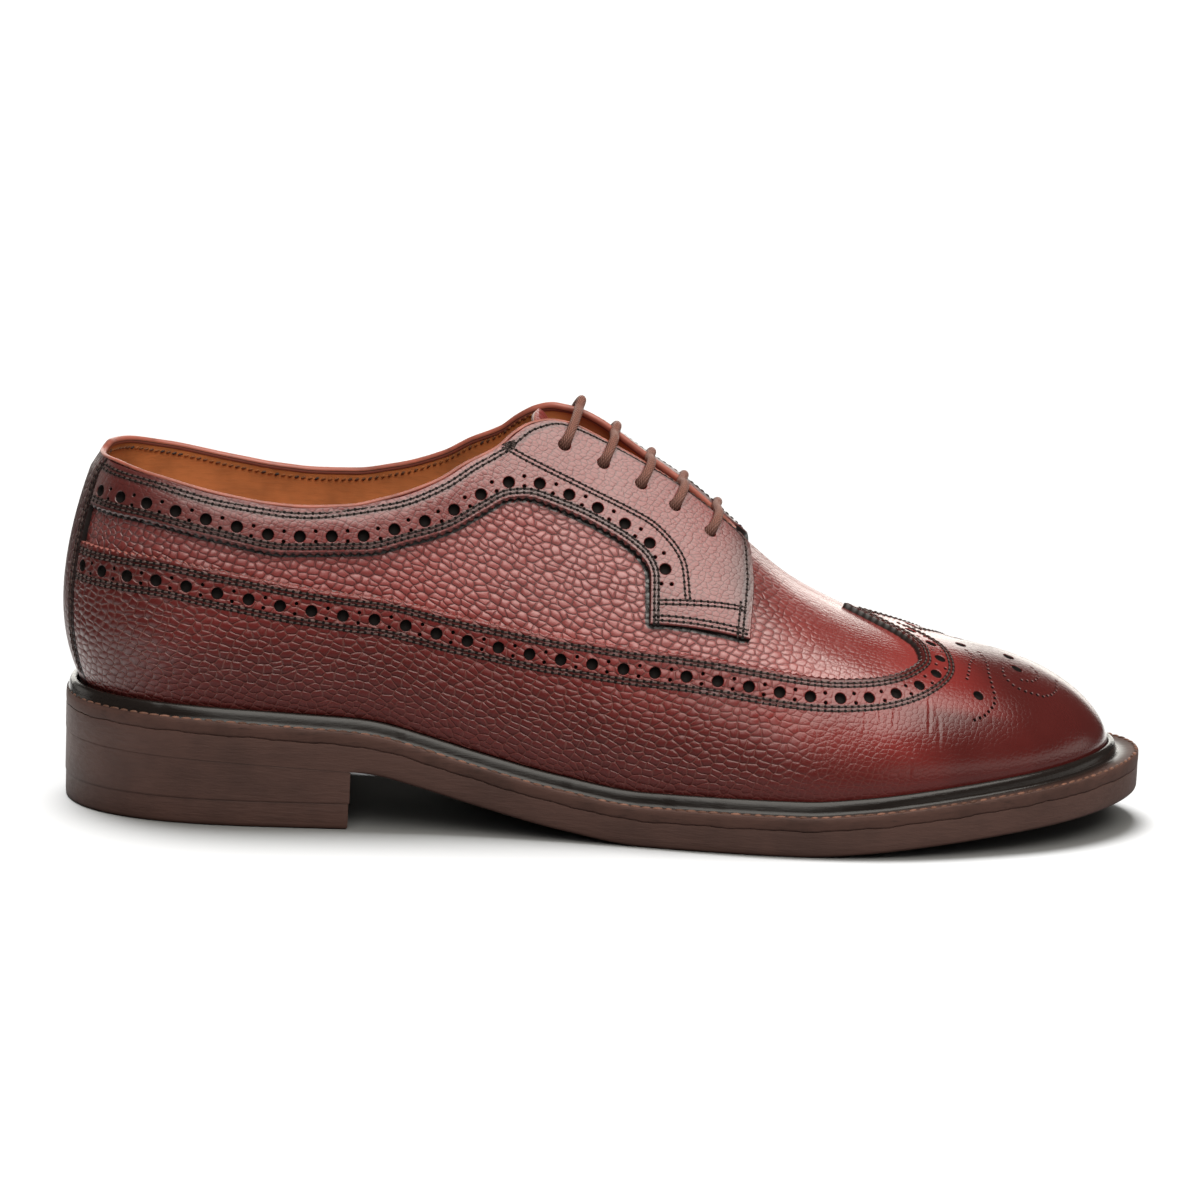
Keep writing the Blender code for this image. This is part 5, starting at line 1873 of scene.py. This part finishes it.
class BROGUE_OT_stage(bpy.types.Operator):
    """Pale floor, soft studio light and the camera"""
    bl_idname = "brogue.stage"
    bl_label = "Stage"

    def execute(self, context):
        scene = context.scene
        scene.view_settings.view_transform = "Standard"
        clear_selection()
        bpy.ops.mesh.primitive_plane_add(size=40.0, location=(0, 0, 0))
        floor = context.object
        floor.name = "floor"
        floor.data.materials.append(self.floor_look())
        self.light(scene)
        self.camera(scene)
        return {"FINISHED"}

    def floor_look(self):
        """White sheet: bright only close to the shoe for all but the camera's own view of it."""
        look, tree, shader = new_material("pale_floor", (0.9, 0.9, 0.9))
        spot = object_place(tree)
        cloud = noise_node(tree, spot, 3.0)["Fac"]
        pale = mix_colour(tree, cloud, (0.122, 0.122, 0.122), (0.125, 0.125, 0.125))
        place = axes(tree, spot)
        lit = range_node(tree, place["Y"], -0.19, -0.12)
        for axis, low, high in (("X", -0.31, -0.23), ("X", 0.42, 0.30), ("Y", 0.60, 0.40)):
            lit = math_node(tree, "MULTIPLY", lit, range_node(tree, place[axis], low, high))
        behind = range_node(tree, place["X"], -0.14, -0.19)
        beyond = math_node(tree, "MAXIMUM", behind, range_node(tree, place["Y"], 0.04, 0.12))
        near = mix_colour(tree, beyond, (0.055, 0.054, 0.053), (0.21, 0.208, 0.204))
        bounce = mix_colour(tree, lit, (0.004, 0.004, 0.004), near)
        seen = tree.nodes.new("ShaderNodeLightPath").outputs["Is Camera Ray"]
        tone = mix_colour(tree, seen, bounce, pale)
        set_inputs(tree, shader, {"Base Color": tone, "Roughness": 0.9, "Specular IOR Level": 0.0})
        return look

    def light(self, scene):
        """Panel overhead, strip beside the camera, white sweep low behind and cards at the ends."""
        world = bpy.data.worlds.new("studio")
        scene.world = world
        world.use_nodes = True
        tree = world.node_tree
        ground = tree.nodes["Background"]
        place = axes(tree, tree.nodes.new("ShaderNodeTexCoord").outputs["Generated"])
        x, y, z = (place[key] for key in ("X", "Y", "Z"))
        lean = math_node(tree, "MULTIPLY_ADD", y, -0.25, z)

        def patch(level, *windows):
            for axis, low, high in windows:
                level = math_node(tree, "MULTIPLY", range_node(tree, axis, low, high), level)
            return level

        panels = [
            patch(5.6, (lean, 0.745, 0.80), (y, 0.28, 0.04), (x, -0.45, -0.12), (x, 0.86, 0.52)),
            patch(3.3, (x, 0.26, 0.06), (x, -0.30, -0.10), (z, 0.12, 0.40), (lean, 0.80, 0.72),
                  (y, 0.0, -0.3)),
            patch(3.0, (y, 0.82, 0.90), (z, 0.48, 0.38)),
            patch(1.0, (x, 0.40, 0.66), (z, -0.10, -0.02), (z, 0.24, 0.16), (y, 0.5, 0.25)),
            patch(0.9, (x, -0.55, -0.80), (z, 0.50, 0.25), (y, 0.15, 0.45)),
        ]
        level = AMBIENT
        for panel in panels:
            level = math_node(tree, "ADD", level, panel)
        set_inputs(tree, ground, {"Color": (1.0, 0.972, 0.905), "Strength": level})
        data = bpy.data.lights.new("floor_light", "SUN")
        data.energy = 24.0
        data.angle = math.radians(24)
        lamp = bpy.data.objects.new("floor_light", data)
        lamp.rotation_euler = Vector((0.10, -0.26, -1.0)).to_track_quat("-Z", "Y").to_euler()
        scene.collection.objects.link(lamp)
        only = bpy.data.collections.new("floor_only")
        only.objects.link(bpy.data.objects["floor"])
        lamp.light_linking.receiver_collection = only

    def camera(self, scene):
        """Camera at the viewing angle, turned a little about its axis."""
        target = Vector((-0.00343, 0.00145, 0.058))
        away = Vector((-0.068588, -0.980860, 0.182236))
        right = Vector((0.997564, -0.069756, 0.0))
        up = Vector((0.012712, 0.181792, 0.983255))
        roll = math.radians(2.6)
        level = right * math.cos(roll) + up * math.sin(roll)
        upright = up * math.cos(roll) - right * math.sin(roll)
        data = bpy.data.cameras.new("camera")
        data.lens = 119.22
        data.sensor_width = 36.0
        data.sensor_fit = "HORIZONTAL"
        data.clip_start = 0.01
        data.clip_end = 100.0
        view = bpy.data.objects.new("camera", data)
        turn = Matrix((level, upright, away)).transposed().to_4x4()
        view.matrix_world = Matrix.Translation(target + away * CAMERA_DISTANCE) @ turn
        scene.collection.objects.link(view)
        scene.camera = view


class BROGUE_PT_panel(bpy.types.Panel):
    """Lists the pieces of the brogue derby"""
    bl_idname = "BROGUE_PT_panel"
    bl_label = "Brogue derby"
    bl_space_type = "VIEW_3D"
    bl_region_type = "UI"
    bl_category = "Brogue"

    def draw(self, context):
        for step in STEPS:
            self.layout.operator(step.bl_idname)
        for group in (context.scene.brogue_sizes, context.scene.brogue_colours):
            for key in group.__annotations__:
                self.layout.prop(group, key)


STEPS = (
    BROGUE_OT_sole, BROGUE_OT_welt, BROGUE_OT_insole, BROGUE_OT_upper, BROGUE_OT_tongue, BROGUE_OT_wing,
    BROGUE_OT_eyestays, BROGUE_OT_back_strip, BROGUE_OT_lace, BROGUE_OT_stitching, BROGUE_OT_stage,
)
CLASSES = (BrogueSizes, BrogueColours, *STEPS, BROGUE_PT_panel)


def register():
    for kind in CLASSES:
        bpy.utils.register_class(kind)
    bpy.types.Scene.brogue_sizes = PointerProperty(type=BrogueSizes)
    bpy.types.Scene.brogue_colours = PointerProperty(type=BrogueColours)


def unregister():
    del bpy.types.Scene.brogue_colours
    del bpy.types.Scene.brogue_sizes
    for kind in reversed(CLASSES):
        bpy.utils.unregister_class(kind)


def main():
    register()
    clear_selection()
    bpy.ops.brogue.sole()
    bpy.ops.brogue.welt()
    bpy.ops.brogue.insole()
    bpy.ops.brogue.upper()
    bpy.ops.brogue.tongue()
    bpy.ops.brogue.wing()
    bpy.ops.brogue.eyestays()
    bpy.ops.brogue.back_strip()
    bpy.ops.brogue.lace()
    bpy.ops.brogue.stitching()
    bpy.ops.brogue.stage()
    clear_selection()


if __name__ == "__main__":
    main()
